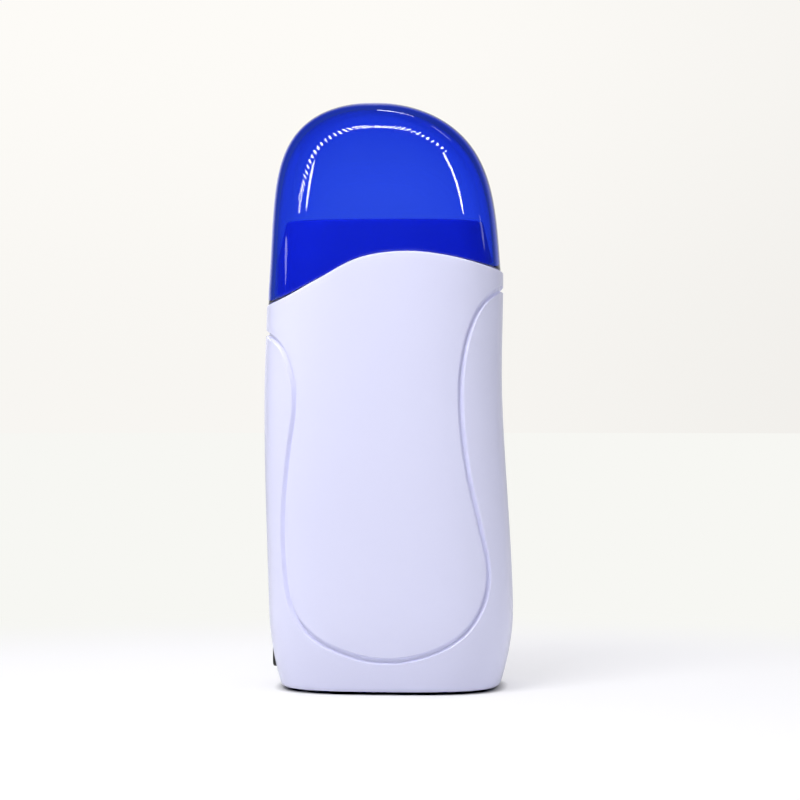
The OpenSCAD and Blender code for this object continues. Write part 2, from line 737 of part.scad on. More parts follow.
module thermostat_clip() color(bare_metal)
    spring_clip(sensor_w, thermostat_t, sensor_low, thermostat_h);

module thermal_fuse() color([0.85, 0.82, 0.7])
    translate([fuse_x, sensor_mid_y, fuse_z]) cylinder(r = thermostat_t / 2, h = fuse_l, $fn = 32);

// ---- Indicator light --------------------------------------------------------------------

light_x = middle_x(light_z);
inner_back = body_half_d(light_z) - shell_wall;
board_back = inner_back - board_gap;
board_post_r = 2;
board_post_edge = 0.5;
board_post_bite = 0.8;
board_post_x = board_w / 2 - board_post_r - board_post_edge;

module board_posts() for (s = [-1, 1]) translate([light_x + s * board_post_x, board_back, light_z])
    rotate([-90, 0, 0]) cylinder(r = board_post_r, h = board_gap + board_post_bite, $fn = 24);

module indicator_board() color([0.1, 0.4, 0.2])
    translate([light_x - board_w / 2, board_back - board_t, light_z - board_h / 2])
        cube([board_w, board_t, board_h]);

led_rim = 0.4;
led_rim_t = 1;
led_gap = 0.5;
module indicator_led() color([0.9, 0.2, 0.15])
    translate([light_x, board_back, light_z]) rotate([-90, 0, 0]) {
        cylinder(r = led_r + led_rim, h = led_rim_t, $fn = 32);
        cylinder(r = led_r, h = board_gap - lens_flange_t - led_gap, $fn = 32);
    }

lens_flange = 1;
lens_flange_t = 1;
module light_lens() color([0.8, 0.1, 0.08]) translate([light_x, 0, light_z]) rotate([-90, 0, 0]) {
    translate([0, 0, inner_back - lens_flange_t - lens_fit])
        cylinder(r = lens_r + lens_flange, h = lens_flange_t, $fn = 32);
    translate([0, 0, inner_back - lens_flange_t])
        cylinder(r = lens_r, h = shell_wall + lens_flange_t, $fn = 32);
}

// ---- Power inlet ------------------------------------------------------------------------

inlet_corner = 2.4;
inlet_flange = 1.2;
inlet_flange_t = 1.6;
inlet_flange_in = 5.4;
pin_fit = 0.02;
pin_step = 0.25;
pin_shank_r = pin_r - pin_step;
pin_tail = 3;

// Draws a shape that looks out of the left flank, from the inlet's face inwards
module into_left(depth) translate([-inlet_face_x + depth, 0, inlet_z]) rotate([90, 0, 90]) children();

module socket_outline() {
    for (s = [-1, 1]) translate([s * socket_span / 2, 0]) circle(socket_r, $fn = 48);
    square([socket_span, 2 * socket_r], center = true);
}

module power_inlet() color(black) difference() {
    union() {
        into_left(0) rounded_plate(inlet_w, inlet_h, inlet_corner, inlet_l);
        into_left(inlet_flange_in) rounded_plate(inlet_w + 2 * inlet_flange, inlet_h, inlet_corner,
            inlet_flange_t);
    }
    into_left(-1) linear_extrude(socket_depth + 1) socket_outline();
    for (s = [-1, 1]) into_left(0) translate([s * pin_span / 2, 0, 0])
        cylinder(r = pin_shank_r + pin_fit, h = inlet_l + 1, $fn = 48);
}

// Each contact stands on the floor of the socket, and its thinner shank goes through it
module inlet_pins() color(bare_metal) for (s = [-1, 1])
    into_left(0) translate([s * pin_span / 2, 0, 0]) {
        translate([0, 0, pin_drop]) cylinder(r = pin_r, h = socket_depth - pin_drop, $fn = 48);
        translate([0, 0, pin_drop + 1])
            cylinder(r = pin_shank_r, h = inlet_l - pin_drop - 1 + pin_tail, $fn = 48);
    }

// ---- Leads inside the body --------------------------------------------------------------

lead_gap = 0.3;
lead_pass = 1.1;
hop = 2;
tail_x = -inlet_face_x + inlet_l + pin_tail;
tab_top = element_z + element_h + tab_h;
tab_y = front_y - element_t / 2;
above_tail = [-1, 0, pin_r + lead_r + lead_gap];
live_pin = [tail_x, -pin_span / 2, inlet_z];
neutral_pin = [tail_x, pin_span / 2, inlet_z];
behind_board = board_back - board_t - lead_gap;

// Sideways place where a lead goes past a post of the well's stand
past_post = well_x - post_x + post_r + lead_r + lead_pass;

// Place halfway between the wall of the body and the stand of the well, at an angle and a height
outline_power = 5;
stand_out = cradle_fit + cradle_wall;
function halfway(angle, z) = (body_skin(angle, z, shell_wall) + at_height(
    section(angle, well_out_w / 2 + stand_out, well_out_d / 2 + stand_out, outline_power),
    well_x, z)) / 2;

// Place close to the well, at an angle and a height
function by_well(angle, z) = at_height(section(angle, well_out_w / 2 + lead_r + lead_pass + 2 * lead_gap,
    well_out_d / 2 + lead_r + lead_pass + 2 * lead_gap, outline_power), well_x, z);

module live_lead() color([0.45, 0.25, 0.12]) lead([
    live_pin + [lead_gap, 0, 0], [past_post - 0.7 * hop, -pin_span / 2 - 0.8 * hop, inlet_z + hop],
    [past_post, -post_y - hop, well_z - 8 * hop], [past_post - 2 * hop, front_y - hop, well_z - 4 * hop],
    halfway(225, well_z - hop), halfway(216, well_z + 2 * hop), halfway(216, element_z + 8 * hop),
    halfway(216, sensor_low + hop), halfway(225, sensor_high + 2 * hop),
    [sensor_left - hop, sensor_mid_y, sensor_high + 3 * hop],
    [sensor_left + hop, sensor_mid_y, sensor_high + 2 * hop],
    [sensor_left + hop, sensor_mid_y, sensor_high + lead_gap]]);

module neutral_lead() color([0.15, 0.3, 0.6]) lead([
    neutral_pin + [lead_gap, 0, 0], [past_post - 0.5 * hop, pin_span / 2 + hop, inlet_z + hop],
    [past_post, post_y + 1.7 * hop, well_z - 8 * hop], halfway(130, well_z - 4 * hop),
    halfway(147, well_z), halfway(164, well_z + 4.5 * hop), halfway(180, tab_top - 6.5 * hop),
    halfway(194, tab_top - 2.5 * hop), by_well(206, tab_top - 0.5 * hop),
    by_well(220, tab_top + 0.8 * hop), by_well(231, tab_top + 1.4 * hop),
    [well_x - tab_x, tab_y, tab_top + lead_r + lead_gap]]);

// One lead from the thermostat to the fuse, and one from the fuse to the element
module link_leads() color([0.7, 0.1, 0.1]) {
    from = sensor_left + thermostat_l - hop;
    lead([[from, sensor_mid_y, sensor_high + lead_gap], [from, sensor_mid_y, sensor_high + 2 * hop],
        [(from + fuse_x) / 2, sensor_mid_y, sensor_high + 3.7 * hop],
        [fuse_x, sensor_mid_y, fuse_z + fuse_l + 1.5 * hop],
        [fuse_x, sensor_mid_y, fuse_z + fuse_l + lead_gap]]);
    lead([[fuse_x, sensor_mid_y, fuse_z - lead_gap], [fuse_x, sensor_mid_y, fuse_z - hop],
        [well_x + tab_x, tab_y, tab_top + lead_r + lead_gap]]);
}

module board_leads() color([0.8, 0.2, 0.15]) {
    board_low = light_z - hop;
    lead([live_pin + above_tail, [past_post - hop, -pin_span / 3, inlet_z + 3.7 * hop],
        [past_post + 2.2 * hop, hop, light_z - 1.5 * hop],
        [light_x - 2.6 * hop, behind_board - 5.5 * hop, light_z],
        [light_x - 2.4 * hop, behind_board - 2 * hop, light_z],
        [light_x - 2.4 * hop, behind_board, light_z]]);
    lead([neutral_pin + above_tail, [past_post - 1.7 * hop, pin_span / 3, inlet_z + 3.2 * hop],
        [past_post + 1.7 * hop, 4 * hop, light_z - 2.5 * hop],
        [light_x - 4.2 * hop, behind_board - 3 * hop, board_low],
        [light_x - 4.4 * hop, behind_board - 1.2 * hop, board_low],
        [light_x - 4.4 * hop, behind_board, board_low]]);
}

// ---- Foot of the body -------------------------------------------------------------------

module base_plate() color(inner_white) difference() {
    translate([0, 0, plate_z]) linear_extrude(plate_t) polygon([for (a = round_angles())
        let (p = body_skin(a, plate_z, shell_wall + plate_fit)) [p[0], p[1]]]);
    at_corners(screw_x, screw_y) {
        cylinder(r = screw_r + through_fit, h = reach, $fn = 32);
        translate([0, 0, -1]) cylinder(r = head_r + head_fit, h = head_seat + 1, $fn = 32);
    }
    at_corners(pad_x, pad_y) translate([0, 0, -1])
        cylinder(r = pad_r + pad_fit, h = plate_z + pad_sink + 1, $fn = 48);
}

module base_screws() color(bare_metal) at_corners(screw_x, screw_y) translate([0, 0, head_seat]) {
    cylinder(r = screw_r, h = screw_l, $fn = 32);
    translate([0, 0, -head_t]) difference() {
        cylinder(r = head_r, h = head_t, $fn = 32);
        // Cross recess for the driver
        for (turn = [0, 90]) rotate(turn) translate([-cross_l / 2, -cross_w / 2, -eps])
            cube([cross_l, cross_w, cross_deep]);
    }
}

module foot_pads() color([0.12, 0.12, 0.13]) at_corners(pad_x, pad_y)
    cylinder(r = pad_r, h = plate_z + pad_sink, $fn = 48);

// ---- Pieces -----------------------------------------------------------------------------

lid();
front_shell();
rear_shell();
neck_collar();
well_gasket();
heating_well();
well_cradle();
ptc_heater();
heater_insulator();
heater_clip();
thermostat();
thermostat_clip();
thermal_fuse();
live_lead();
neutral_lead();
link_leads();
indicator_board();
indicator_led();
board_leads();
light_lens();
level_window();
power_inlet();
inlet_pins();
base_plate();
base_screws();
foot_pads();
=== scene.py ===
# %% [markdown]
# # A hand-held heater for a roll-on wax cartridge
# The solid model from the CAD step comes in first, as a fixed frame. Every piece made below is laid
# over one of its solids, rides on one of its two bodies and stays inside its box.

# %% Load the frame
import json
import math

import bmesh
import bpy
import numpy as np
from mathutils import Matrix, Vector


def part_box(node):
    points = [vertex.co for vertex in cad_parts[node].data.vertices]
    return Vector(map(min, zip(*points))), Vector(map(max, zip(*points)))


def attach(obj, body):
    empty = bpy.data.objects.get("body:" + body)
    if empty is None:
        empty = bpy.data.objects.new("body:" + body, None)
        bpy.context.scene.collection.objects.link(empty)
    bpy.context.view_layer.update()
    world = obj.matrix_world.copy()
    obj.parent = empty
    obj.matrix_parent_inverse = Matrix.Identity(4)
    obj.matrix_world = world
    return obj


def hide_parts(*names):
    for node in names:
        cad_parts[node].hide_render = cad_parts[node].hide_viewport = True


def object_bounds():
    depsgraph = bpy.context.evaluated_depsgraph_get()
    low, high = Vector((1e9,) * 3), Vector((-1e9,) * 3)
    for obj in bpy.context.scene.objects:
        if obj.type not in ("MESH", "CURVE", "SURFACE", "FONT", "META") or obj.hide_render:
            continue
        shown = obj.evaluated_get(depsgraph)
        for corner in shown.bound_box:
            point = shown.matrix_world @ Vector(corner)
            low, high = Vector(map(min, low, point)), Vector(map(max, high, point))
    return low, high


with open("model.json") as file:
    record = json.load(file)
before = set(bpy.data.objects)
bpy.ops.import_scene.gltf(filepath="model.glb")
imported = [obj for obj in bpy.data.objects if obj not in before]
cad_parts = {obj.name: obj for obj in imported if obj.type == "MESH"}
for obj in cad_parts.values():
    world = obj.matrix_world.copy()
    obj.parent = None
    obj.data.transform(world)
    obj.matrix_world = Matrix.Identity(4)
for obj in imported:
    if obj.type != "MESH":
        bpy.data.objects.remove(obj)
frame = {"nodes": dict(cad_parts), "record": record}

bpy.context.view_layer.update()
cad_low, cad_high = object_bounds()

MM = 0.001
nodes = frame["nodes"]
box_low, box_high = np.array(cad_low) / MM, np.array(cad_high) / MM
print("CAD box in mm:", box_low.round(2), box_high.round(2))

# %% [markdown]
# ## The sizes
# These are the sizes of the solid model, in millimetres. The body is 79 mm wide and 60 mm deep at
# its belly, and comes in a little to the shoulder and the foot. Its middle line leans from side to
# side, which gives the waist its soft S. They are written again here because this file can't read
# the CAD source.

# %% Sizes of the body and the lid
BELLY, SHOULDER = (78.8, 60.0, 27.0), (76.2, 56.5, 126.0)  # width, depth and height of each
TUCK = (4.4, 3.6)
LIFT, WALL = 0.8, 2.2
LEAN = [[0, 0.5], [27, 0.5], [92, -2.0], [128, -1.4], [150, -1.4]]
CREST, DROP = 139.6, 17.3
PARTING = [[-1.1, 1], [-0.864, 0.832], [-0.55, 0.486], [-0.209, 0.116], [0.183, 0],
           [0.576, 0.092], [1.047, 0.364]]
LID_INSET, LID_WALL, LID_GAP, LID_DRAFT = 0.4, 1.8, 0.35, 3.6
DOME_Z, DOME_POWERS, DOME_LEAN, CROWN = 128.0, (4.8, 5.2), -4.0, 2.2
NECK_Z = 150.0
print("body", BELLY[:2], "at its belly and", SHOULDER[:2], "at its shoulder")

# %% [markdown]
# ## Curves that everything shares
# A maker draws such a housing from a few curves: how wide, how deep and how far over it is at each
# height. Numpy works them out for all heights at once, so there is no loop over points.
# The section is a superellipse, which is a circle's formula with a higher power: 2 would give an
# ellipse, and 3 gives the flatter face and tighter corners of a moulded case.

# %% Curves


def ease(t):
    """Half a cosine wave: 0 below 0, 1 above 1, and smooth between."""
    return (1 - np.cos(np.pi * np.clip(t, 0, 1))) / 2


def through(points, x):
    """Smooth curve through a list of [place, value]: on each stretch a cubic whose slopes at its
    two ends are those of the lines between the neighbouring points."""
    xs, ys = np.array(points, float).T
    after = np.append(np.arange(1, len(xs)), len(xs) - 1)
    before = np.append(0, np.arange(len(xs) - 1))
    slope = (ys[after] - ys[before]) / (xs[after] - xs[before])
    x = np.clip(x, xs[0], xs[-1])
    i = np.clip(np.searchsorted(xs, x, side="right") - 1, 0, len(xs) - 2)
    w = xs[i + 1] - xs[i]
    t = (x - xs[i]) / w
    return ((2 * t**3 - 3 * t**2 + 1) * ys[i] + (t**3 - 2 * t**2 + t) * w * slope[i]
            + (3 * t**2 - 2 * t**3) * ys[i + 1] + (t**3 - t**2) * w * slope[i + 1])


def body_half(z, k):
    """Half the width (k 0) or depth (k 1) of the body: it eases from belly to shoulder, and tucks
    in below the belly with the square of the distance."""
    up = ease((z - BELLY[2]) / (SHOULDER[2] - BELLY[2]))
    down = (np.maximum(BELLY[2] - z, 0) / BELLY[2]) ** 2
    return BELLY[k] / 2 - (BELLY[k] - SHOULDER[k]) / 2 * up - TUCK[k] * down


def section(angle, half_w, half_d, power=3):
    """Superellipse: the radius at an angle is (|cos/w|^p + |sin/d|^p)^(-1/p)."""
    c, s = np.cos(np.radians(angle)), np.sin(np.radians(angle))
    r = (np.abs(c / half_w) ** power + np.abs(s / half_d) ** power) ** (-1 / power)
    return r * c, r * s


def body_skin(angle, z, inset=0):
    """Point of the body at an angle (0 right flank, 270 front) and a height, this far inside."""
    x, y = section(angle, body_half(z, 0) - inset, body_half(z, 1) - inset)
    return np.stack([x + through(LEAN, z), y, z + 0 * x], -1)


def parting(angle):
    """Height of the wavy line between body and lid, from the sideways place on the shoulder."""
    x = body_skin(angle, np.full(np.shape(angle), SHOULDER[2]))[..., 0]
    return CREST - DROP * through(PARTING, x / (SHOULDER[0] / 2))


print("half widths at 0, 27, 92 and 126 mm:", body_half(np.array([0, 27, 92, 126.0]), 0).round(2))

# %% [markdown]
# ## Putting arrays into meshes
# A grid of points needs a face between each four neighbours. Where the grid shrinks to a point or
# meets itself, points coincide. One of each is kept, and a face that loses a corner becomes a
# triangle.

# %% Mesh helpers


def grid_faces(rows, cols, round_rows=False, round_cols=False, start=0):
    """Faces of a grid of rows x cols points, written row by row, which may close either way."""
    r = np.arange(rows if round_rows else rows - 1)[:, None]
    c = np.arange(cols if round_cols else cols - 1)[None, :]
    r2, c2 = (r + 1) % rows, (c + 1) % cols
    return start + np.stack(np.broadcast_arrays(
        r * cols + c, r * cols + c2, r2 * cols + c2, r2 * cols + c), -1).reshape(-1, 4)


def merged(keys, faces, digits=5):
    """Keeps one of each set of equal points and drops the faces that collapse."""
    _, first, back = np.unique(np.round(keys, digits) + 0.0, axis=0, return_index=True,
                               return_inverse=True)
    faces = back.reshape(-1)[faces]
    step = np.roll(faces, -1, axis=1) != faces
    whole = faces[step.all(1)]
    cut = faces[step.sum(1) == 3]
    tris = cut[step[step.sum(1) == 3]].reshape(-1, 3)
    return first, whole, tris


def placed(name, points, *face_sets):
    """An object at the origin, whose mesh has these points, in mm, and these sets of faces."""
    mesh = bpy.data.meshes.new(name)
    mesh.from_pydata((points * MM).tolist(), [], [list(f) for s in face_sets for f in s])
    made = bpy.data.objects.new(name, mesh)
    bpy.context.scene.collection.objects.link(made)
    return made


def new_piece(name, points, *face_sets):
    """A piece of the heater, kept inside the CAD box, with every face smooth."""
    piece = placed(name, np.clip(points, box_low, box_high), *face_sets)
    piece.data.shade_smooth()
    piece.data.validate()
    print(name, "has", len(piece.data.polygons), "faces")
    return piece


def outward(piece):
    """Turns every face outwards, for a shape whose grid may have come out inside out."""
    bm = bmesh.new()
    bm.from_mesh(piece.data)
    bmesh.ops.recalc_face_normals(bm, faces=bm.faces)
    bm.to_mesh(piece.data)
    bm.free()
    return piece


def settle(piece):
    """Applies a piece's modifiers, so that what other steps need is in its mesh."""
    ready = piece.evaluated_get(bpy.context.evaluated_depsgraph_get())
    mesh = bpy.data.meshes.new_from_object(ready)
    piece.modifiers.clear()
    piece.data = mesh
    return piece


def cut_away(piece, cutter):
    """Cuts one closed mesh out of another and removes the cutter."""
    knife = piece.modifiers.new("cut", "BOOLEAN")
    knife.operation, knife.solver, knife.object = "DIFFERENCE", "EXACT", cutter
    settle(piece)
    bpy.data.objects.remove(cutter)
    return piece


CRISP = 35


def sharpen(piece, degrees=CRISP):
    """Keeps corners steeper than this crisp, and shades the rest smooth."""
    piece.data.shade_smooth()
    piece.data.set_sharp_from_angle(angle=math.radians(degrees))
    return piece


# %% [markdown]
# ## The groove that frames the face
# A groove runs down from the left flank, round the foot and up to the right flank. The mesh has to
# follow it, or its fine edges would come out as steps. So strips along both branches carry the
# groove's section, and the face between them is a ladder of rungs from the left one to the right
# one. More strips reach out to the foot and the flanks, and a last patch fills the space under the
# parting line. All of this is in angle and height, and the skin function lays it on the body.

# %% Line of the groove
GROOVE_LOW, GROOVE_HIGH, GROOVE_DEEP = 10.9, 128.6, 1.05
GROOVE = [[-90, 0.882], [-71, 0.875], [-57, 0.847], [-48.8, 0.772], [-46.5, 0.683], [-50.4, 0.54],
          [-53.8, 0.405], [-54.4, 0.27], [-50.8, 0.144], [-39.5, 0.06], [-20, 0.014], [1.5, 0],
          [23, 0.015], [40.5, 0.063], [51.6, 0.147], [55.4, 0.237], [52.8, 0.338], [47.9, 0.498],
          [46, 0.658], [47.2, 0.793], [52, 0.904], [60.5, 0.968], [74, 0.995], [90, 1]]
LOWEST, STEPS, RUNGS, FRONT = 11, 24, 220, 270


def glide(points, steps):
    """Smooth path through points: on each stretch a cubic that heads from the point before to the
    point after at both of its ends."""
    p = np.array(points, float)
    i = np.arange(len(p) - 1)
    a, b, c, d = (p[np.clip(i + k, 0, len(p) - 1)][:, None, :] for k in (-1, 0, 1, 2))
    t = (np.arange(steps) / steps)[None, :, None]
    path = 0.5 * (2 * b + (c - a) * t + (2 * a - 5 * b + 4 * c - d) * t**2
                  + (3 * b - a - 3 * c + d) * t**3)
    return np.vstack([path.reshape(-1, p.shape[1]), p[-1:]])


def spread(path, count):
    """Points at equal steps along a path, measured on the body itself, and its whole length."""
    place = body_skin(path[:, 0], path[:, 1])
    run = np.append(0, np.cumsum(np.linalg.norm(np.diff(place, axis=0), axis=1)))
    at = np.linspace(0, run[-1], count)
    return np.stack([np.interp(at, run, path[:, k]) for k in (0, 1)], -1), run[-1]


groove = np.array([[FRONT + a, GROOVE_LOW + s * (GROOVE_HIGH - GROOVE_LOW)] for a, s in GROOVE])
whole_groove = glide(groove, STEPS)
left_line, left_run = spread(whole_groove[:LOWEST * STEPS + 1][::-1], RUNGS)
right_line, right_run = spread(whole_groove[LOWEST * STEPS:], RUNGS)
print("groove branches:", round(left_run), "and", round(right_run), "mm long")

# %% [markdown]
# The strip along the groove needs the direction across it. That is the direction along it, turned
# by a right angle, with angles scaled to millimetres first. At the flanks it is turned upright, so
# that the groove of the front meets the groove of the back. The groove's wall beside the face is
# steep and stays dark. The one beside the flank slants, and catches the light as a bright line.

# %% Strips beside the groove
ACROSS = np.array([-2.2, -1.6, -1.25, -1.14, -1.05, -0.95, -0.85, -0.75, -0.65, -0.55, -0.45, -0.3,
                   0, 0.4, 0.75, 0.85, 0.9, 0.95, 1.0, 1.05, 1.1, 1.16, 1.3, 1.6, 2.2])
TROUGH, FLANK_WALL, FACE_WALL = 1.1, 0.62, 0.3
TURN_ROWS, START_ROWS = 8, 4


def strip(line, side):
    """Points at each distance across a branch: place + distance * (direction turned by 90 degrees).
    The direction comes upright over the last rows and over the first ones."""
    scale = np.linalg.norm(body_skin(line[:, 0] + 0.5, line[:, 1])
                           - body_skin(line[:, 0] - 0.5, line[:, 1]), axis=1)
    along = np.gradient(line, axis=0) * np.stack([scale, np.ones_like(scale)], -1)
    turned = np.stack([along[:, 1], -along[:, 0]], -1) * side
    row = np.arange(len(line))
    to_end = (len(line) - 1 - row) / TURN_ROWS
    turned[:, 0] *= np.clip(to_end, 0, 1) * np.clip(row / START_ROWS, 0, 1)
    turned /= np.linalg.norm(turned, axis=1, keepdims=True)
    turned[:, 0] /= scale
    return line[:, None, :] + ACROSS[None, :, None] * turned[:, None, :]


def trough(distance):
    """Depth of the groove: deep * (3t^2 - 2t^3), where t is the share of a wall that is crossed.
    Distances below 0 lead away from the face, to the flank or the foot."""
    wall = np.where(distance < 0, FLANK_WALL, FACE_WALL)
    t = np.clip((TROUGH - np.abs(distance)) / wall, 0, 1)
    return GROOVE_DEEP * (3 * t**2 - 2 * t**3)


left_strip = strip(left_line, 1)
right_strip = strip(right_line, -1)
print("strip ends on the flanks:", left_strip[-1, 0].round(2), right_strip[-1, -1].round(2))

# %% [markdown]
# The rest of the face is filled by going in equal steps from one edge to another. The outer strips
# turn a corner at the foot: one part of the groove looks at the rim, the other at the flank. The
# ladder ends where the groove turns outwards. Rungs above that would lie on each other and fold, so
# upright columns go from there to the rim. The map stops a little short of the rims, where their
# rounding starts.

# %% The flat map of the face
CORNER_AT, LEFT_FLANK, RIGHT_FLANK = 0.285, 180.0, 360.0
OUTER, ACROSS_FACE, TOP_ROWS, LADDER_ROWS = 12, 52, 24, 160
RIM, FOOT, SEAM, SEAM_TURN = 0.5, 1.3, 0.2, 0.29


def blend_grid(a, b, count):
    """Grid of points between two rows, in equal steps from a to b."""
    t = np.linspace(0, 1, count)[None, :, None]
    return a[:, None, :] * (1 - t) + b[:, None, :] * t


def outer_edge(inner, flank):
    """The rim below the groove up to a corner, then the flank, spread like the groove itself."""
    corner = int(CORNER_AT * len(inner))
    i = np.arange(len(inner))
    turn = (inner[:, 0] - inner[0, 0]) / (inner[corner, 0] - inner[0, 0])
    rise = (inner[:, 1] - inner[corner, 1]) / (inner[-1, 1] - inner[corner, 1])
    a = np.where(i <= corner, inner[0, 0] + turn * (flank - inner[0, 0]), flank)
    low = LIFT + FOOT
    z = np.where(i <= corner, low, low + rise * (inner[-1, 1] - low))
    return np.stack([a, z], -1)


def even(grid):
    """A grid of (angle, height) with depth 0 added: the skin without the groove."""
    return np.concatenate([grid, np.zeros(grid.shape[:2] + (1,))], -1)


def face_map():
    """All grids of the face as (angle, height, depth of the groove), and their faces."""
    parts = []
    ends = LEFT_FLANK + SEAM_TURN, RIGHT_FLANK - SEAM_TURN
    for band, flank in zip((left_strip, right_strip), ends):
        band[..., 0] = np.clip(band[..., 0], *ends)
        depth = np.broadcast_to(trough(ACROSS)[None, :, None], band.shape[:2] + (1,))
        parts.append(np.concatenate([band, depth], -1))
        parts.append(even(blend_grid(outer_edge(band[:, 0], flank), band[:, 0], OUTER)))
    left_edge, right_edge = left_strip[:, -1], right_strip[:, -1]
    ladder = blend_grid(left_edge[:LADDER_ROWS], right_edge[:LADDER_ROWS], ACROSS_FACE)
    parts.append(even(ladder))
    last = np.concatenate([left_edge[:LADDER_ROWS - 1:-1], ladder[-1], right_edge[LADDER_ROWS:]])
    assert (np.diff(last[:, 0]) > 0).all(), "the patch under the parting line would fold"
    rim = np.stack([last[:, 0], parting(last[:, 0]) - RIM], -1)
    parts.append(even(blend_grid(last, rim, TOP_ROWS)))
    faces, start = [], 0
    for k, part in enumerate(parts):
        grid = grid_faces(*part.shape[:2], start=start)
        faces.append(grid[:, ::-1] if k in (2, 3, 5) else grid)
        start += part.shape[0] * part.shape[1]
    return np.concatenate([p.reshape(-1, 3) for p in parts]), np.concatenate(faces)


flat, flat_faces = face_map()
first, quads, tris = merged(flat[:, :2], flat_faces)
flat = flat[first]
print("map of the face:", len(flat), "points,", len(quads), "quads,", len(tris), "triangles")

# %% [markdown]
# ## The two shells
# Injection moulding makes each half in one shot, with a wall of even thickness. So the map is laid
# twice, on the skin and on the inside of the wall, and both are joined round their border by a
# quarter circle. It is small along the flanks, where the halves meet and it draws the seam. The
# rear shell is the same half, mirrored.

# %% Shells


def border_of(*face_sets):
    """Directed edges that belong to one face only."""
    pairs = np.concatenate([np.stack([f.ravel(), np.roll(f, -1, axis=1).ravel()], -1)
                            for f in face_sets])
    size = pairs.max() + 1
    own, other = pairs[:, 0] * size + pairs[:, 1], pairs[:, 1] * size + pairs[:, 0]
    return pairs[~np.isin(own, other)]


def half_shell(name, mirrored):
    """Skin, rounded border and inside of one half, from the flat map."""
    angle, z, deep = flat.T
    edges = border_of(quads, tris)
    rim = np.unique(edges)
    slot_of = np.zeros(len(flat), int)
    slot_of[rim] = np.arange(len(rim))
    a, b, c = flat[rim].T
    left, right = a < LEFT_FLANK + SEAM_TURN + 0.01, a > RIGHT_FLANK - SEAM_TURN - 0.01
    sideways = SEAM_TURN * (right * 1.0 - left * 1.0)
    foot, top = b < LIFT + FOOT + 0.001, b > parting(a) - RIM - 0.001
    radius = np.where(foot, FOOT, np.where(top, RIM, SEAM))
    sheets = [body_skin(angle, z, deep)]
    for turn in np.radians([22.5, 45, 67.5, 90]):
        out, into = np.sin(turn), 1 - np.cos(turn)
        sheets.append(body_skin(a + out * sideways, b + out * (RIM * top - FOOT * foot),
                                c + radius * into))
    a2, z2 = angle.copy(), z.copy()
    a2[rim] += sideways
    z2[rim] += RIM * top - FOOT * foot
    sheets.append(body_skin(a2, z2, WALL))
    n, m = len(flat), len(rim)
    levels = [edges] + [n + k * m + slot_of[edges] for k in range(4)] + [n + 4 * m + edges]
    bands = [np.stack([p[:, 1], p[:, 0], q[:, 0], q[:, 1]], -1)
             for p, q in zip(levels[:-1], levels[1:])]
    sets = [quads, tris] + bands + [(n + 4 * m + f)[:, ::-1] for f in (quads, tris)]
    points = np.concatenate(sheets)
    if mirrored:
        points[:, 1] *= -1
        sets = [f[:, ::-1] for f in sets]
    return new_piece(name, points, *sets)


front = half_shell("front_half", False)
rear = half_shell("rear_half", True)

# %% [markdown]
# ## Openings in the shells
# The mains inlet sits in the left flank, right on the joint, so both halves lose a piece there. The
# rear half also has the tall window for the wax level and the hole of the heating light. Each
# cutter is an outline pushed along one axis, a little larger than the part that goes into the hole.
# We cut after the shells are whole, so the holes get clean walls.

# %% Outlines and cutters
WINDOW_X, WINDOW_Z, WINDOW_W, WINDOW_H = -1.0, 80.0, 14.0, 50.0
LENS_X, LENS_Z, LENS_R = 0.8, 27.0, 2.5
INLET_Z, INLET_W, INLET_H, INLET_R = 13.2, 18.4, 12.8, 2.4
INLET_PLAY, PLAY, ROUND_END = 0.2, 0.1, 0.001
FLANK_CUT, BACK_CUT = (-50, -20), (15, 45)


def rounded(width, depth, corner, count=12):
    """Rectangle with round corners: at each corner a quarter circle about (half - radius)."""
    turn = np.radians(np.linspace(0, 90, count)[None, :] + 90 * np.arange(4)[:, None])
    sx, sy = np.array([1, -1, -1, 1])[:, None], np.array([1, 1, -1, -1])[:, None]
    x = sx * (width / 2 - corner) + corner * np.cos(turn)
    y = sy * (depth / 2 - corner) + corner * np.sin(turn)
    return np.stack([x.ravel(), y.ravel()], -1)


def laid(outline, axis, centre, place):
    """An outline in the plane across an axis, moved to a centre, at a place on that axis."""
    points = np.full((len(outline), 3), float(place))
    points[:, [k for k in range(3) if k != axis]] = outline + np.array(centre)
    return points


def cutter(outline, axis, centre, low, high):
    """Outline in the plane across an axis, pushed along it from low to high, with flat ends."""
    n = len(outline)
    points = np.concatenate([laid(outline, axis, centre, place) for place in (low, high)])
    i, j = np.arange(n), np.roll(np.arange(n), -1)
    sides = np.stack([i, j, j + n, i + n], -1)
    return outward(placed("cutter", points, [i[::-1], i + n], sides))


for half in (front, rear):
    cut_away(half, cutter(rounded(INLET_W + 2 * INLET_PLAY, INLET_H + 2 * INLET_PLAY,
                                  INLET_R + INLET_PLAY), 0, (0, INLET_Z), *FLANK_CUT))
for (x, z), w, h, count in (((WINDOW_X, WINDOW_Z), WINDOW_W, WINDOW_H, 24),
                            ((LENS_X, LENS_Z), 2 * LENS_R, 2 * LENS_R, 12)):
    w, h = w + 2 * PLAY, h + 2 * PLAY
    cut_away(rear, cutter(rounded(w, h, w / 2 - ROUND_END, count), 1, (x, z), *BACK_CUT))
for half in (front, rear):
    sharpen(half)
print("rear shell after its cuts:", len(rear.data.polygons), "faces")

# %% [markdown]
# ## The lid
# The lid is moulded as one clear tinted shell. Its lower edge follows the body's parting line, and
# its top closes like a superellipse, with a power that makes the crown flat and the shoulders full.
# Rows are spaced with a sine, so that they come closer where the dome turns over. It needs a real
# wall with an inside, because the tint works over the length of plastic that light crosses.

# %% Lid
COLUMNS = 192
LID_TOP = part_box("lid")[1][2] / MM
around = np.arange(COLUMNS) * 360 / COLUMNS


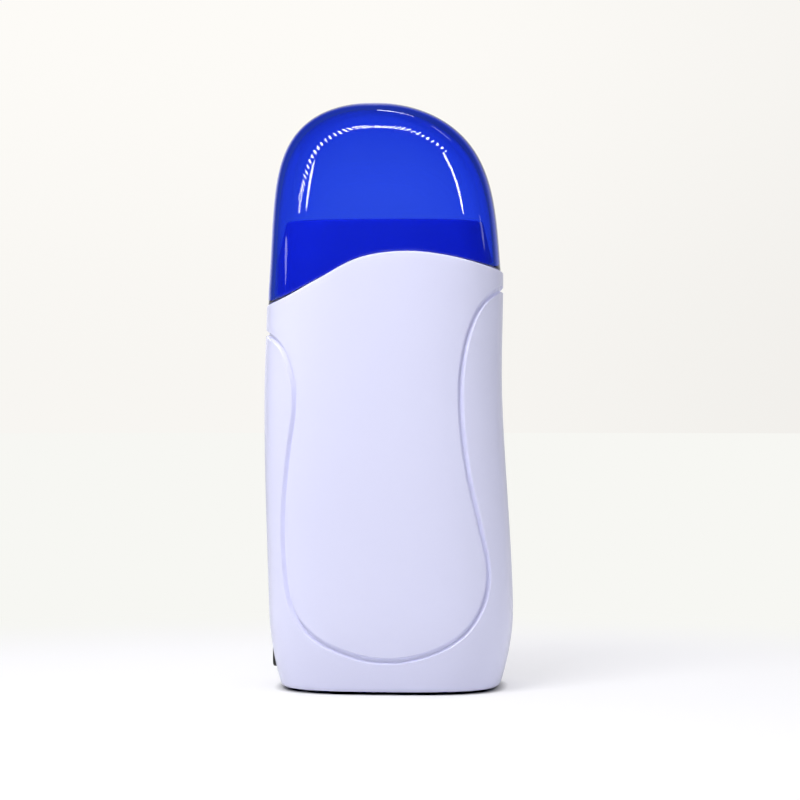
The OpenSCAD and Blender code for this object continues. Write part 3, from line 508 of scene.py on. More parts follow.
def lid_in(z):
    """How far the lid stands in from the shoulder: a step at its rim, then a straight draft."""
    return LID_INSET + LID_DRAFT * np.clip((z - DOME_Z) / (LID_TOP - DOME_Z), 0, 1)


def lid_skin(angle, z, inset, top):
    """Body section, less draft and inset, times sqrt(1 - u^p); u is 0 at the shoulder, 1 on top."""
    u = np.clip((z - DOME_Z) / (top - DOME_Z), 0, 1)
    w = (SHOULDER[0] / 2 - lid_in(z) - inset) * np.sqrt(1 - u ** DOME_POWERS[0])
    d = (SHOULDER[1] / 2 - lid_in(z) - inset) * np.sqrt(1 - u ** DOME_POWERS[1])
    x, y = section(angle, np.maximum(w, 1e-7), np.maximum(d, 1e-7))
    return np.stack([x + through(LEAN, np.minimum(z, NECK_Z)) + DOME_LEAN * u**3, y, z + 0 * x], -1)


def dome(rows, inset, top, lift):
    """Rows from the rim to the crown: height = rim + (top - rim) * sin(90 degrees * share)."""
    share = np.sin(np.linspace(0, np.pi / 2, rows))[:, None]
    rim = parting(around)[None, :] + LID_GAP + lift
    z = rim + (top - rim) * share
    return lid_skin(np.broadcast_to(around, z.shape), z, inset, top)


def make_lid(rows=96, rim=0.4):
    """Outside from the rim to the crown, inside back down, and a rounded rim that joins them."""
    outside = dome(rows, 0, LID_TOP, rim)
    inside = dome(rows // 2, LID_WALL, LID_TOP - CROWN, rim)[::-1]
    low = parting(around) + LID_GAP + rim
    edge = [lid_skin(around, low - rim * np.sin(t), side + turn * rim * (1 - np.cos(t)), LID_TOP)
            for side, turn, ts in ((LID_WALL, -1, (30, 60, 90)), (0, 1, (90, 60, 30)))
            for t in np.radians(ts)]
    points = np.concatenate([outside, inside, np.array(edge)])
    faces = grid_faces(len(points), COLUMNS, True, True)
    points = points.reshape(-1, 3)
    keep, whole, tris = merged(points, faces)
    return outward(new_piece("clear_lid", points[keep], whole, tris))


lid = make_lid()
print("the lid reaches", round(LID_TOP, 2), "mm")

# %% [markdown]
# ## The neck
# The neck is the white collar that the lid slips over. Only its rim is seen, through the tinted
# lid: it's the line between the lid's light and dark parts. Its profile goes round in rings: up the
# outside, over the rim, down to the deck, round the mouth and back down inside.

# %% Neck
NECK_FOOT, NECK_BAND, NECK_TAPER, NECK_EDGE = 112, (114, 125), 136.6, 149.0
NECK_TOP, NECK_WALL, NECK_PLAY = (32.3, 23.8), 1.8, 0.15
DECK, MOUTH, MOUTH_POWER, MIDDLE = (144, 146), (26.6, 18.6), 6, -1.0


def ring(z, half_w, half_d, power=3, centre=None):
    """One ring of a profile: a superellipse at one height."""
    x, y = section(around, half_w, half_d, power)
    middle = through(LEAN, np.array([float(z)])) if centre is None else centre
    return np.stack([x + middle, y, 0 * x + z], -1)


def make_neck():
    """Rings up the outside, over the rim, down to the deck, through the mouth, down inside."""
    low = [body_half(float(NECK_FOOT), k) - WALL - NECK_PLAY for k in (0, 1)]
    wide = [SHOULDER[k] / 2 - lid_in(NECK_TAPER) - LID_WALL - LID_GAP for k in (0, 1)]
    top = NECK_TOP
    taper = [(NECK_TAPER + (NECK_EDGE - NECK_TAPER) * t,
              [wide[k] + (top[k] - wide[k]) * t for k in (0, 1)], 0) for t in np.linspace(0, 1, 9)]
    outside = [(NECK_FOOT, low, 0), (NECK_FOOT + 1, low, 0), (NECK_BAND[0], low, 0),
               (NECK_BAND[0], wide, 0), (NECK_BAND[1], wide, 0)] + taper
    over = [(NECK_Z - 0.3, top, 0.3), (NECK_Z, top, 0.9), (NECK_Z, top, 1.5),
            (NECK_Z - 0.3, top, NECK_WALL), (NECK_Z - 2, top, NECK_WALL),
            (DECK[1], top, NECK_WALL)]
    inside = [(DECK[0], top, NECK_WALL), (NECK_TAPER - 1, wide, NECK_WALL),
              (NECK_FOOT, wide, NECK_WALL)]
    rings = [ring(z, w - inset, d - inset) for z, (w, d), inset in outside + over]
    rings += [ring(z, *MOUTH, MOUTH_POWER, MIDDLE) for z in DECK[::-1]]
    rings += [ring(z, w - inset, d - inset) for z, (w, d), inset in inside]
    faces = grid_faces(len(rings), COLUMNS, True, True)
    return sharpen(outward(new_piece("neck", np.array(rings).reshape(-1, 3), faces)))


neck = make_neck()
print("neck rim at", NECK_Z, "mm")

# %% [markdown]
# ## Pieces made of rings
# Most small parts are one outline that changes its size on its way: a drawn cup, a gasket, a
# turned pin. So one helper skins a stack of rings, and either closes both ends or joins them.

# %% Ring helpers
ROUND = 48


def skinned(name, *stacks, loop=False, degrees=CRISP):
    """Solid from stacks of rings. An end is closed by one more ring, shrunk to its middle."""
    points, quad_sets, tri_sets, start = [], [], [], 0
    for stack in stacks:
        stack = np.array(stack)
        if not loop:
            ends = [np.broadcast_to(stack[k].mean(0), stack[k].shape)[None] for k in (0, -1)]
            stack = np.concatenate([ends[0], stack, ends[1]])
        flat_stack = stack.reshape(-1, 3)
        keep, whole, tris = merged(flat_stack, grid_faces(*stack.shape[:2], loop, True))
        points.append(flat_stack[keep])
        quad_sets.append(whole + start)
        tri_sets.append(tris + start)
        start += len(keep)
    return sharpen(outward(new_piece(name, np.concatenate(points), np.concatenate(quad_sets),
                                     np.concatenate(tri_sets))), degrees)


def turned(profile, axis, centre):
    """Rings of a turned part: each [radius, place] is a circle about the axis, at that place."""
    turn = np.arange(ROUND) * 2 * np.pi / ROUND
    circle = np.stack([np.cos(turn), np.sin(turn)], -1)
    return [laid(circle * radius, axis, centre, place) for radius, place in profile]


print("ring helpers are ready")

# %% [markdown]
# ## The well
# The cartridge stands in a drawn aluminium cup, which spreads the heat evenly. Drawing leaves
# round corners between wall and floor and turns the rim out to a narrow flange. A long slot is
# punched in its back, so that the wax can be seen through the window. A silicone gasket lies on its
# flange. Every ring of both is the well's inner outline, grown by some distance.

# %% Well and gasket
WELL_LOW, WELL_TOP, WELL_X, WELL_FLOOR = 37.0, 142.0, -1.0, 1.8
WELL_INSIDE, FLOOR_BEND, RIM_BEND = (52, 36, 9), 1.5, 0.8
bend = np.radians([0, 22.5, 45, 67.5, 90])
out_bend, up_bend = 1 - np.sin(bend), 1 - np.cos(bend)


def well_ring(grow, z):
    """The well's inner outline, grown by a distance on every side."""
    w, d, corner = WELL_INSIDE
    return laid(rounded(w + 2 * grow, d + 2 * grow, corner + grow), 2, (WELL_X, 0), z)


cup = [well_ring(1 - FLOOR_BEND * a, WELL_LOW + FLOOR_BEND * b) for a, b in zip(out_bend, up_bend)]
cup += [well_ring(grow, WELL_TOP + z)
        for grow, z in ((1, -0.3), (1.1, 0), (2.1, 0), (2.2, 0.2), (2.2, 0.8))]
cup += [laid(rounded(56.1, 40.1, 11.1), 2, (WELL_X, 0), WELL_TOP + 1)]
cup += [well_ring(RIM_BEND * a, WELL_TOP + 1 - RIM_BEND * b) for a, b in zip(out_bend, up_bend)]
cup += [well_ring(-RIM_BEND * b, WELL_LOW + WELL_FLOOR - RIM_BEND * (1 - a))
        for a, b in zip(out_bend, up_bend)]
well = skinned("well", cup)
SLOT_WIDE, SLOT_TALL, SLOT_CORNER, SLOT_Z, SLOT_CUT = 14, 36, 2.0, 80.0, (12, 25)
slot_outline = rounded(SLOT_WIDE, SLOT_TALL, SLOT_CORNER)
cut_away(well, cutter(slot_outline, 1, (WELL_X, SLOT_Z), *SLOT_CUT))
sharpen(well)

GASKET_LOW = 143.0
GASKET = [(0.6, 0.15), (0.75, 0), (2.05, 0), (2.2, 0.15), (2.2, 0.85), (2.05, 1), (0.75, 1),
          (0.6, 0.85)]
gasket = skinned("gasket", [well_ring(grow, GASKET_LOW + z) for grow, z in GASKET], loop=True,
                 degrees=60)

# %% [markdown]
# ## Window and heating light
# The pane is moulded in clear plastic to the curve of the rear shell, so its face runs on with the
# shell's face. Its flange lies behind the shell's wall. The lens of the heating light is a small
# turned plug with a soft dome.

# %% Window and light


def back_skin(x, z, inset):
    """Depth of the body's back at a sideways place: the section's formula solved for y."""
    w, d = body_half(z, 0) - inset, body_half(z, 1) - inset
    return d * (1 - np.abs((x - through(LEAN, z)) / w) ** 3) ** (1 / 3)


def pane_ring(share, grow, inset):
    """The window's outline, shrunk by a share or grown by a distance, laid on the body's back."""
    w, h = WINDOW_W + 2 * grow, WINDOW_H + 2 * grow
    x, z = (rounded(w, h, w / 2 - ROUND_END) * share + (WINDOW_X, WINDOW_Z)).T
    return np.stack([x, back_skin(x, z, inset), z], -1)


SKIN_GAP, FLANGE = 0.05, 3.3
SHARES = (0.001, 0.25, 0.5, 0.75)
PANE = [(share, 0, SKIN_GAP) for share in SHARES]
PANE += [(1, -0.35, SKIN_GAP), (1, -0.1, 0.12), (1, 0, 0.35), (1, 0, 2.3), (1, 1.4, 2.3),
         (1, 1.5, 2.4), (1, 1.5, 3.2), (1, 1.4, FLANGE)]
PANE += [(share, 0, FLANGE) for share in SHARES[::-1]]
pane = skinned("window_pane", [pane_ring(*row) for row in PANE])
LENS = [(3.3, 26.7), (3.5, 26.9), (3.5, 27.6), (3.4, 27.7), (LENS_R, 27.7), (LENS_R, 29.4),
        (2.35, 29.68), (1.8, 29.85), (1.0, 29.94), (0.4, 29.97)]
lens = skinned("light_plug", turned(LENS, 1, (LENS_X, LENS_Z)), degrees=50)

# %% [markdown]
# ## The mains inlet
# This black block is what a cord plugs into: a deep socket with round ends and two round pins. The
# pins are turned, with tapered tips, and go on as thinner tails through the block's back.

# %% Inlet and pins
INLET_FACE, SOCKET_DEEP, PIN_Y = -37.3, 12.5, 4.3
case, flange, socket = (INLET_W, INLET_H, INLET_R), (20.8, INLET_H, INLET_R), (16.2, 8.8, 4.4)
BLOCK = [(*case, 16), (*case, 7), (*flange, 7), (*flange, 5.4), (*case, 5.4), (*case, 0.5),
         (18.1, 12.5, 2.25, 0.12), (17.6, 12.0, 2.0, 0), (16.9, 9.5, 4.7, 0),
         (16.4, 9.0, 4.5, 0.12), (*socket, 0.5), (*socket, SOCKET_DEEP)]
inlet = skinned("inlet_block", [laid(rounded(w, h, corner), 0, (0, INLET_Z), INLET_FACE + into)
                                for w, h, corner, into in BLOCK])
PIN_HOLE, HOLE_SIDES, HOLE_CUT = 0.97, 24, (-26, -20)
hole_turn = np.arange(HOLE_SIDES) * 2 * np.pi / HOLE_SIDES
hole = PIN_HOLE * np.stack([np.cos(hole_turn), np.sin(hole_turn)], -1)
for y in (-PIN_Y, PIN_Y):
    cut_away(inlet, cutter(hole, 0, (y, INLET_Z), *HOLE_CUT))
sharpen(inlet)
PIN = [(0.3, 3.0), (0.75, 3.1), (1.05, 3.45), (1.17, 3.9), (1.2, 4.4), (1.2, SOCKET_DEEP),
       (0.95, SOCKET_DEEP), (0.95, 18.8), (0.8, 19.0)]
profile = [(radius, INLET_FACE + into) for radius, into in PIN]
pins = skinned("pins", *[turned(profile, 0, (y, INLET_Z)) for y in (-PIN_Y, PIN_Y)], degrees=45)

# %% [markdown]
# ## Feet
# Four die-cut rubber discs sit in pockets of the base plate, and lift the body just off the table.
# Under that small gap lies the dark line below the body: real shade, deepened by painted shade on
# the floor.

# %% Feet
PAD, PAD_X, PAD_Y = [(3.3, 0.0), (3.75, 0.08), (3.95, 0.3), (4.0, 0.6), (4.0, 1.8)], 14.6, 17
pads = skinned("pads", *[turned(PAD, 2, (x, y)) for x in (-PAD_X, PAD_X) for y in (-PAD_Y, PAD_Y)],
               degrees=60)

# %% [markdown]
# ## Writing materials as sums
# Node trees are easier to follow when they read like arithmetic. This small class holds one output
# of a tree. Adding, subtracting or multiplying it makes the Math node, and `node` makes any other
# kind: its type, its settings, then its inputs by place or name.

# %% Socket arithmetic


class Wire:
    """One output of a node tree. Numbers and other wires are added, taken away or multiplied."""

    def __init__(self, tree, socket):
        self.tree, self.socket = tree, socket

    def sum_of(self, kind, a, b):
        return node(self.tree, "ShaderNodeMath", {"operation": kind}, a, b)

    def __add__(self, other):
        return self.sum_of("ADD", self, other)

    def __radd__(self, other):
        return self.sum_of("ADD", other, self)

    def __sub__(self, other):
        return self.sum_of("SUBTRACT", self, other)

    def __rsub__(self, other):
        return self.sum_of("SUBTRACT", other, self)

    def __mul__(self, other):
        return self.sum_of("MULTIPLY", self, other)

    def __rmul__(self, other):
        return self.sum_of("MULTIPLY", other, self)


def put(target, value):
    """Feeds a wire into an input, or writes a number or a colour there."""
    if isinstance(value, Wire):
        value.tree.links.new(value.socket, target)
    else:
        target.default_value = value


def node(tree, kind, settings=None, *values, out=0, **named):
    """Makes a node and gives back one of its outputs."""
    made = tree.nodes.new(kind)
    for key, value in (settings or {}).items():
        setattr(made, key, value)
    for key, value in enumerate(values):
        put(made.inputs[key], value)
    for key, value in named.items():
        put(made.inputs[key.replace("_", " ")], value)
    return Wire(tree, made.outputs[out])


def larger(a, b):
    """The larger of two wires."""
    return a.sum_of("MAXIMUM", a, b)


def fade(value, low, high, start=0.0, end=1.0):
    """Smooth step from one value to another between two bounds."""
    return node(value.tree, "ShaderNodeMapRange", {"interpolation_type": "SMOOTHSTEP"},
                value, low, high, start, end)


def ray_is(tree, kind):
    """1 for rays of one kind, 0 for all others."""
    return node(tree, "ShaderNodeLightPath", out=f"Is {kind} Ray")


print("socket arithmetic is ready")

# %% [markdown]
# The patterns of all finishes come from one noise node. It works in the piece's own space, so a
# lump has a real size in millimetres. Scaling one axis less than the others pulls it into a line.

# %% Material helpers


def rgb(red, green, blue):
    """Screen colour 0-255 as linear light: ((c + 0.055) / 1.055)^2.4 above the dark end."""
    c = np.array([red, green, blue]) / 255
    light = np.where(c > 0.04045, ((c + 0.055) / 1.055) ** 2.4, c / 12.92)
    return (*light.tolist(), 1.0)


def dimmed(colour, share):
    """A linear colour times a share."""
    return tuple(c * share for c in colour[:3]) + (1.0,)


def noise(tree, size, detail=2.0, rough=0.5, stretch=None):
    """Cloud pattern, 0 to 1, with lumps about this many millimetres across, or lines of them."""
    place = node(tree, "ShaderNodeTexCoord", out="Object")
    if stretch:
        place = node(tree, "ShaderNodeMapping", Vector=place, Scale=stretch)
    return node(tree, "ShaderNodeTexNoise", Vector=place, Scale=1 / (size * MM), Detail=detail,
                Roughness=rough)


def mix_colour(tree, mask, a, b):
    """Colour a where the mask is 0, colour b where it is 1."""
    made = node(tree, "ShaderNodeMix", {"data_type": "RGBA"}, out=2)
    for key, value in ((0, mask), (6, a), (7, b)):
        put(made.socket.node.inputs[key], value)
    return made


def bump(tree, height, depth):
    """Bump whose relief is this many millimetres deep."""
    return node(tree, "ShaderNodeBump", Strength=1.0, Distance=depth * MM, Height=height)


def new_material(name):
    """Material with its tree and its Principled shader."""
    made = bpy.data.materials.new(name)
    made.use_nodes = True
    return made, made.node_tree, made.node_tree.nodes["Principled BSDF"]


def plug(shader, **values):
    """Sets inputs of a shader by name."""
    for key, value in values.items():
        put(shader.inputs[key.replace("_", " ")], value)


def show(tree, surface):
    """Makes a shader the surface of the tree's output."""
    put(tree.nodes["Material Output"].inputs["Surface"], surface)


print("material helpers are ready")

# %% [markdown]
# ## The finishes
# Each finish starts from what its maker does. Moulded plastic has a fine grain from the tool and
# very soft clouds of colour. Drawn metal has lines along the draw, and rolled strip has lines along
# the strip. Insulation is glossy and slightly wavy. Rubber is matte, with a coarser grain.

# %% Kinds of finish


def moulded(name, colour, second, gloss, size=30, grain=0.25, relief=0.004):
    """Moulded plastic: soft clouds of two near colours, tool grain and a wider unevenness."""
    made, tree, shader = new_material(name)
    clouds, fine, wide = noise(tree, size), noise(tree, grain, 3.0), noise(tree, size / 4, 1.0)
    plug(shader, Base_Color=mix_colour(tree, clouds, colour, second),
         Roughness=gloss + (fine - 0.5) * 0.06 + (wide - 0.5) * 0.05,
         Normal=bump(tree, fine * 0.7 + wide * 2.0, relief))
    return made


def metal(name, colour, second, gloss, stretch=(1, 1, 1), size=0.5, relief=0.003):
    """Bare metal: fine lines along the way it was worked, and dull patches where it was held."""
    made, tree, shader = new_material(name)
    lines, dull = noise(tree, size, 3.0, 0.6, stretch), noise(tree, 9)
    plug(shader, Base_Color=mix_colour(tree, lines * 0.6 + dull * 0.4, colour, second),
         Roughness=gloss + (lines - 0.5) * 0.15 + (dull - 0.5) * 0.12,
         Metallic=0.96 + dull * 0.04, Normal=bump(tree, lines, relief))
    return made


def insulation(name, colour, second):
    """Extruded lead insulation: shallow waves, a slight gloss and rubbed, paler spots."""
    made, tree, shader = new_material(name)
    waves, rubbed = noise(tree, 2.5, 1.0), noise(tree, 0.8, 4.0)
    plug(shader, Base_Color=mix_colour(tree, rubbed, colour, second),
         Roughness=0.34 + rubbed * 0.2, Normal=bump(tree, waves + rubbed * 0.2, 0.05))
    return made


def spotted(name, colour, second, gloss, size, low, high, relief=0.01, see_through=0.0):
    """Two clear colours: the second shows only where the noise lies above a threshold."""
    made, tree, shader = new_material(name)
    field, fine = noise(tree, size, 3.0), noise(tree, 0.3)
    spots = fade(field, low, high)
    plug(shader, Base_Color=mix_colour(tree, spots, colour, second),
         Roughness=gloss + spots * 0.1 + (fine - 0.5) * 0.08,
         Normal=bump(tree, field + fine * 0.3, relief), Transmission_Weight=see_through)
    return made


def clear(name, colour, gloss, ior, relief=0.002):
    """Clear plastic: transmission with a faint unevenness in gloss and surface."""
    made, tree, shader = new_material(name)
    wide, fine = noise(tree, 6, 1.0), noise(tree, 0.5, 3.0)
    plug(shader, Base_Color=mix_colour(tree, wide, colour, dimmed(colour, 0.97)),
         Roughness=gloss + fine * 0.04, Normal=bump(tree, wide, relief), IOR=ior,
         Transmission_Weight=1.0)
    return made


print("kinds of finish: moulded, metal, insulation, spotted and clear")

# %% [markdown]
# Now each part of the heater gets its finish, by the slot that the record gives it. The two colours
# of a finish lie near each other, because a new part is even. The body's white leans to blue, as
# white plastic does beside a blue lid.

# %% Finishes of the parts
ALONG_Z, ALONG_X = (6, 6, 0.3), (0.4, 6, 6)
FINISHES = {
    "shell_white": (moulded, "White ABS", (226, 227, 255), (223, 224, 253), 0.25),
    "inner_white": (moulded, "Inner white ABS", (226, 228, 252), (221, 223, 249), 0.42, 20),
    "silicone": (spotted, "Red-brown silicone", (176, 96, 80), (164, 86, 72), 0.55, 3, 0.45, 0.7),
    "well_aluminium": (metal, "Drawn aluminium", (208, 209, 211), (184, 185, 188), 0.3, ALONG_Z),
    "heat_resistant_plastic": (spotted, "Glass-filled nylon", (206, 200, 182), (192, 184, 164),
                               0.5, 0.8, 0.5, 0.62),
    "element_case": (metal, "Extruded element case", (186, 186, 184), (160, 160, 160), 0.38,
                     (4, 4, 0.3)),
    "insulating_sheet": (spotted, "Mica sheet", (200, 156, 66), (176, 128, 50), 0.28, 2.5, 0.5,
                         0.6),
    "spring_steel": (metal, "Rolled spring steel", (176, 177, 180), (146, 147, 152), 0.28,
                     ALONG_X),
    "black_plastic": (moulded, "Black nylon", (16, 16, 20), (22, 22, 26), 0.5, 12, 0.2, 0.008),
    "fuse_ceramic": (spotted, "Fuse ceramic", (236, 232, 220), (222, 214, 198), 0.45, 1.2, 0.55,
                     0.7),
    "brown_insulation": (insulation, "Brown insulation", (92, 55, 34), (110, 70, 46)),
    "blue_insulation": (insulation, "Blue insulation", (36, 70, 164), (52, 86, 180)),
    "red_insulation": (insulation, "Red insulation", (168, 36, 32), (184, 54, 46)),
    "circuit_board": (spotted, "Green circuit board", (30, 88, 52), (48, 122, 70), 0.36, 1.6,
                      0.5, 0.52),
    "led_resin": (spotted, "Red LED resin", (206, 40, 40), (176, 26, 28), 0.16, 1.5, 0.4, 0.7,
                  0.01, 0.5),
    "lens_red": (spotted, "Red lens plastic", (196, 28, 34), (164, 18, 26), 0.12, 1.4, 0.4, 0.7,
                 0.01, 0.35),
    "contact_metal": (metal, "Nickel-plated brass", (206, 202, 192), (184, 178, 166), 0.22,
                      (0.4, 5, 5)),
    "screw_steel": (metal, "Zinc-plated steel", (166, 168, 174), (132, 134, 142), 0.3,
                    (1, 1, 8), 0.4),
    "foot_rubber": (spotted, "Foot rubber", (34, 34, 40), (44, 44, 50), 0.72, 0.5, 0.45, 0.65,
                    0.02),
}
stuff = {slot: kind(name, rgb(*colour), rgb(*second), *rest)
         for slot, (kind, name, colour, second, *rest) in FINISHES.items()}
stuff["window_clear"] = clear("Clear window plastic", rgb(240, 244, 250), 0.03, 1.49)
print(len(stuff), "finishes so far")

# %% [markdown]
# ## The tinted lid
# The lid is clear plastic with a deep blue dye. Part of its tint is put on the surface, so that it
# stays even, and part in the volume, so that the edges, where light crosses more plastic, turn
# darker. Light that only passes through on its way to the neck gets nearly the same tint from a
# transparent shader.

# %% Lid material
WALL_TINT = (0.33, 0.465, 0.973, 1.0)
DYE, DYE_STRENGTH = (0.068, 0.356, 0.97, 1.0), 440.0
SHADOW_TINT = (0.29, 0.355, 0.775, 1.0)
LID_GLOSS, LID_WIPED = 0.015, 0.05


def lid_plastic():
    """Tinted glass for sight and mirror rays, a plain tint for lamp light and soft light."""
    blue, tree, shader = new_material("Clear blue lid plastic")
    smudge, flow = noise(tree, 5, 4.0, 0.6), noise(tree, 16, 1.0)
    plug(shader, IOR=1.5, Transmission_Weight=1.0,
         Roughness=fade(smudge, 0.58, 0.74, 0.0, LID_WIPED) + LID_GLOSS,
         Base_Color=mix_colour(tree, flow, WALL_TINT, dimmed(WALL_TINT, 0.985)),
         Normal=bump(tree, flow, 0.003))
    passing = larger(ray_is(tree, "Shadow"), ray_is(tree, "Diffuse"))
    open_way = node(tree, "ShaderNodeBsdfTransparent", Color=SHADOW_TINT)
    show(tree, node(tree, "ShaderNodeMixShader", None, passing, Wire(tree, shader.outputs[0]),
                    open_way))
    dye = node(tree, "ShaderNodeVolumeAbsorption", Color=DYE, Density=DYE_STRENGTH)
    put(tree.nodes["Material Output"].inputs["Volume"], dye)
    return blue


stuff["lid_blue"] = lid_plastic()
print("the lid's wall lets through", [round(c, 2) for c in WALL_TINT[:3]], "before its dye")

# %% [markdown]
# ## Every piece takes its place
# Each new piece rides on one of the two bodies and stands in for the solid it was laid over. The
# solids that have no new piece, mostly the ones inside, only get their finish.

# %% Pieces take their places
for piece, body, names, slot in (
        (front, "heater", ["front_shell"], "shell_white"),
        (rear, "heater", ["rear_shell"], "shell_white"),
        (lid, "lid", ["lid"], "lid_blue"),
        (neck, "heater", ["neck_collar"], "inner_white"),
        (well, "heater", ["heating_well"], "well_aluminium"),
        (gasket, "heater", ["well_gasket"], "silicone"),
        (pane, "heater", ["level_window"], "window_clear"),
        (lens, "heater", ["light_lens"], "lens_red"),
        (inlet, "heater", ["power_inlet"], "black_plastic"),
        (pins, "heater", ["inlet_pins"], "contact_metal"),
        (pads, "heater", ["foot_pads"], "foot_rubber")):
    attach(piece, body)
    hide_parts(*names)
    piece.data.materials.clear()
    piece.data.materials.append(stuff[slot])

slots = {p.get("node", p.get("name")): p.get("material_slot")
         for p in frame["record"]["subparts"]}
for name, thing in nodes.items():
    finish = stuff.get(slots.get(name))
    if finish:
        kept = thing.data.materials
        for k in range(len(kept)):
            kept[k] = finish
        if not len(kept):
            kept.append(finish)
print("slots of the record:", slots)

# %% [markdown]
# ## The floor
# The heater stands on pale paper: a wide disc, made of a few rings, with its faces up. Near the
# heater the camera sees it half lit by the lamps and half glowing, which leaves it a soft shadow.
# Further off it glows evenly into the backdrop. The dark line under the body is painted shade: the
# glowing half is dimmed by how much of its surroundings each point sees within a few millimetres.
# From below the disc isn't shown.

# %% Floor
FLOOR_SIDES, FLOOR_RADII = 96, (0, 300, 800, 2000, 6000)
floor_turn = np.radians(np.arange(FLOOR_SIDES) * 360 / FLOOR_SIDES)
floor_ring = np.stack([np.cos(floor_turn), np.sin(floor_turn), 0 * floor_turn], -1)
floor_points = (np.array(FLOOR_RADII)[:, None, None] * floor_ring).reshape(-1, 3)
keep, whole, tris = merged(floor_points, grid_faces(len(FLOOR_RADII), FLOOR_SIDES, False, True))
floor = placed("Floor", floor_points[keep], whole[:, ::-1], tris[:, ::-1])

WARM, COOL, FAR_TONE = rgb(253, 251, 247), rgb(250, 249, 254), rgb(247, 247, 243)
PAPER, LIT_SHARE, GLOW_SHARE = (0.72, 0.72, 0.72, 1), (0.4, 0.4, 0.4, 1), 0.55
GAP_SHADE, NEAR_MIDDLE, NEAR_FROM, NEAR_TO = 0.003, (0, -0.07, 0), 0.16, 0.34


def shade_within(tree, reach):
    """Share of the surroundings that a point sees within a distance, 1 in the open."""
    return node(tree, "ShaderNodeAmbientOcclusion", {"samples": 16}, Distance=reach, out="AO")


paper, tree, shader = new_material("Pale paper")
plug(shader, Base_Color=PAPER, Roughness=1.0)
place = node(tree, "ShaderNodeTexCoord", out="Object")
offset = node(tree, "ShaderNodeVectorMath", {"operation": "SUBTRACT"}, place, NEAR_MIDDLE)
away = node(tree, "ShaderNodeVectorMath", {"operation": "LENGTH"}, offset, out="Value")
far = fade(away, NEAR_FROM, NEAR_TO)
tone = mix_colour(tree, far, COOL, FAR_TONE)
tight, wider = shade_within(tree, GAP_SHADE), shade_within(tree, 3 * GAP_SHADE)
# painted shade: near the body the floor's glow is dimmed where each point sees little of its
# surroundings
painted_gap_shade = (tight * 1.3 - 0.3) * (0.9 + 0.1 * wider)
glow = node(tree, "ShaderNodeEmission", Color=tone, Strength=1.0)
glow_with_painted_shade = node(tree, "ShaderNodeEmission", Color=tone, Strength=painted_gap_shade * GLOW_SHARE)
half_lit = node(tree, "ShaderNodeBsdfDiffuse", Color=LIT_SHARE)
near_look = node(tree, "ShaderNodeAddShader", None, glow_with_painted_shade, half_lit)
look = node(tree, "ShaderNodeMixShader", None, far, near_look, glow)
seen = ray_is(tree, "Camera")
from_above = node(tree, "ShaderNodeMixShader", None, seen, Wire(tree, shader.outputs[0]), look)
from_below = node(tree, "ShaderNodeNewGeometry", out="Backfacing")
nothing = node(tree, "ShaderNodeBsdfTransparent", Color=(1, 1, 1, 1))
show(tree, node(tree, "ShaderNodeMixShader", None, from_below * seen, from_above, nothing))
floor.data.materials.append(paper)
print("floor of", len(floor.data.polygons), "faces")

# %% [markdown]
# ## The room
# The studio has a white backdrop and a dark room in front, so the glossy lid mirrors dark, with
# white only where it turns away at its left edge. The world holds all three: what the camera and
# the clear lid show, what mirrors show, and the soft light that falls on the object, which is
# stronger from the sides and from behind.

# %% Room
world = bpy.data.worlds.new("Studio")
world.use_nodes = True
bpy.context.scene.world = world
tree = world.node_tree
ROOM_FRONT, ROOM_BACK, ROOM_SIDES = 0.23, 0.8, 0.9
MIRROR_DARK, MIRROR_BACK, MIRROR_RIGHT = 0.03, 1.0, 0.35
WHITE = (1, 1, 1, 1)


def background(colour, strength):
    return node(tree, "ShaderNodeBackground", Color=colour, Strength=strength)


direction = node(tree, "ShaderNodeTexCoord", out="Generated")
way_x, way_y, way_z = (node(tree, "ShaderNodeSeparateXYZ", None, direction, out=k) for k in "XYZ")
sideways = node(tree, "ShaderNodeMath", {"operation": "ABSOLUTE"}, way_x)
behind = fade(way_y, 0.72, 0.98, 0.0, MIRROR_BACK) * fade(way_x, -0.1, 0.25, 1.0, MIRROR_RIGHT)
sheet = fade(way_x, -0.1, 0.16, 1.0, 0.935) * fade(way_z, 0.0, 0.16, 0.955, 1.0)
through_lid = fade(way_y, 0.8, 0.995, 0.5, 1.0) * fade(way_x, -0.05, 0.4, 1.0, 0.72)
is_through = ray_is(tree, "Transmission")
backdrop = background(WARM, is_through * through_lid + (1.0 - is_through) * sheet)
soft = background(WHITE, fade(way_y, -0.25, 0.85, ROOM_FRONT, ROOM_BACK)
                  + fade(sideways, 0.55, 0.95, 0.0, ROOM_SIDES))
mirrored = background(WHITE, behind + MIRROR_DARK)
inner = node(tree, "ShaderNodeMixShader", None, ray_is(tree, "Glossy"), soft, mirrored)
final = node(tree, "ShaderNodeMixShader", None, larger(ray_is(tree, "Camera"), is_through),
             inner, backdrop)
put(tree.nodes["World Output"].inputs["Surface"], final)
print("room light from", ROOM_FRONT, "in front to", ROOM_BACK, "behind")

# %% [markdown]
# Two soft lamps do the rest. The key lamp, up on the left, gives the body its slow change from left
# to right and the groove its dark and bright lines. The top lamp draws a light line on the rim.

# %% Lamps


def lamp(name, place, aim, width, height, power):
    """Rectangular soft light that faces a point, all in metres. No mirror shows it."""
    light = bpy.data.lights.new(name, "AREA")
    light.shape, light.size, light.size_y = "RECTANGLE", width, height
    light.energy = power
    made = bpy.data.objects.new(name, light)
    bpy.context.scene.collection.objects.link(made)
    made.location = place
    made.rotation_mode = "QUATERNION"
    made.rotation_quaternion = (Vector(aim) - Vector(place)).to_track_quat("-Z", "Y")
    made.visible_camera = made.visible_glossy = made.visible_transmission = False


lamp("Key", (-0.15, -0.29, 0.49), (0, 0, 0.09), 0.22, 0.22, 1.7)
lamp("Top", (-0.1, -0.3, 1.1), (0, 0, 0.1), 0.5, 0.4, 3.8)
print("2 lamps")

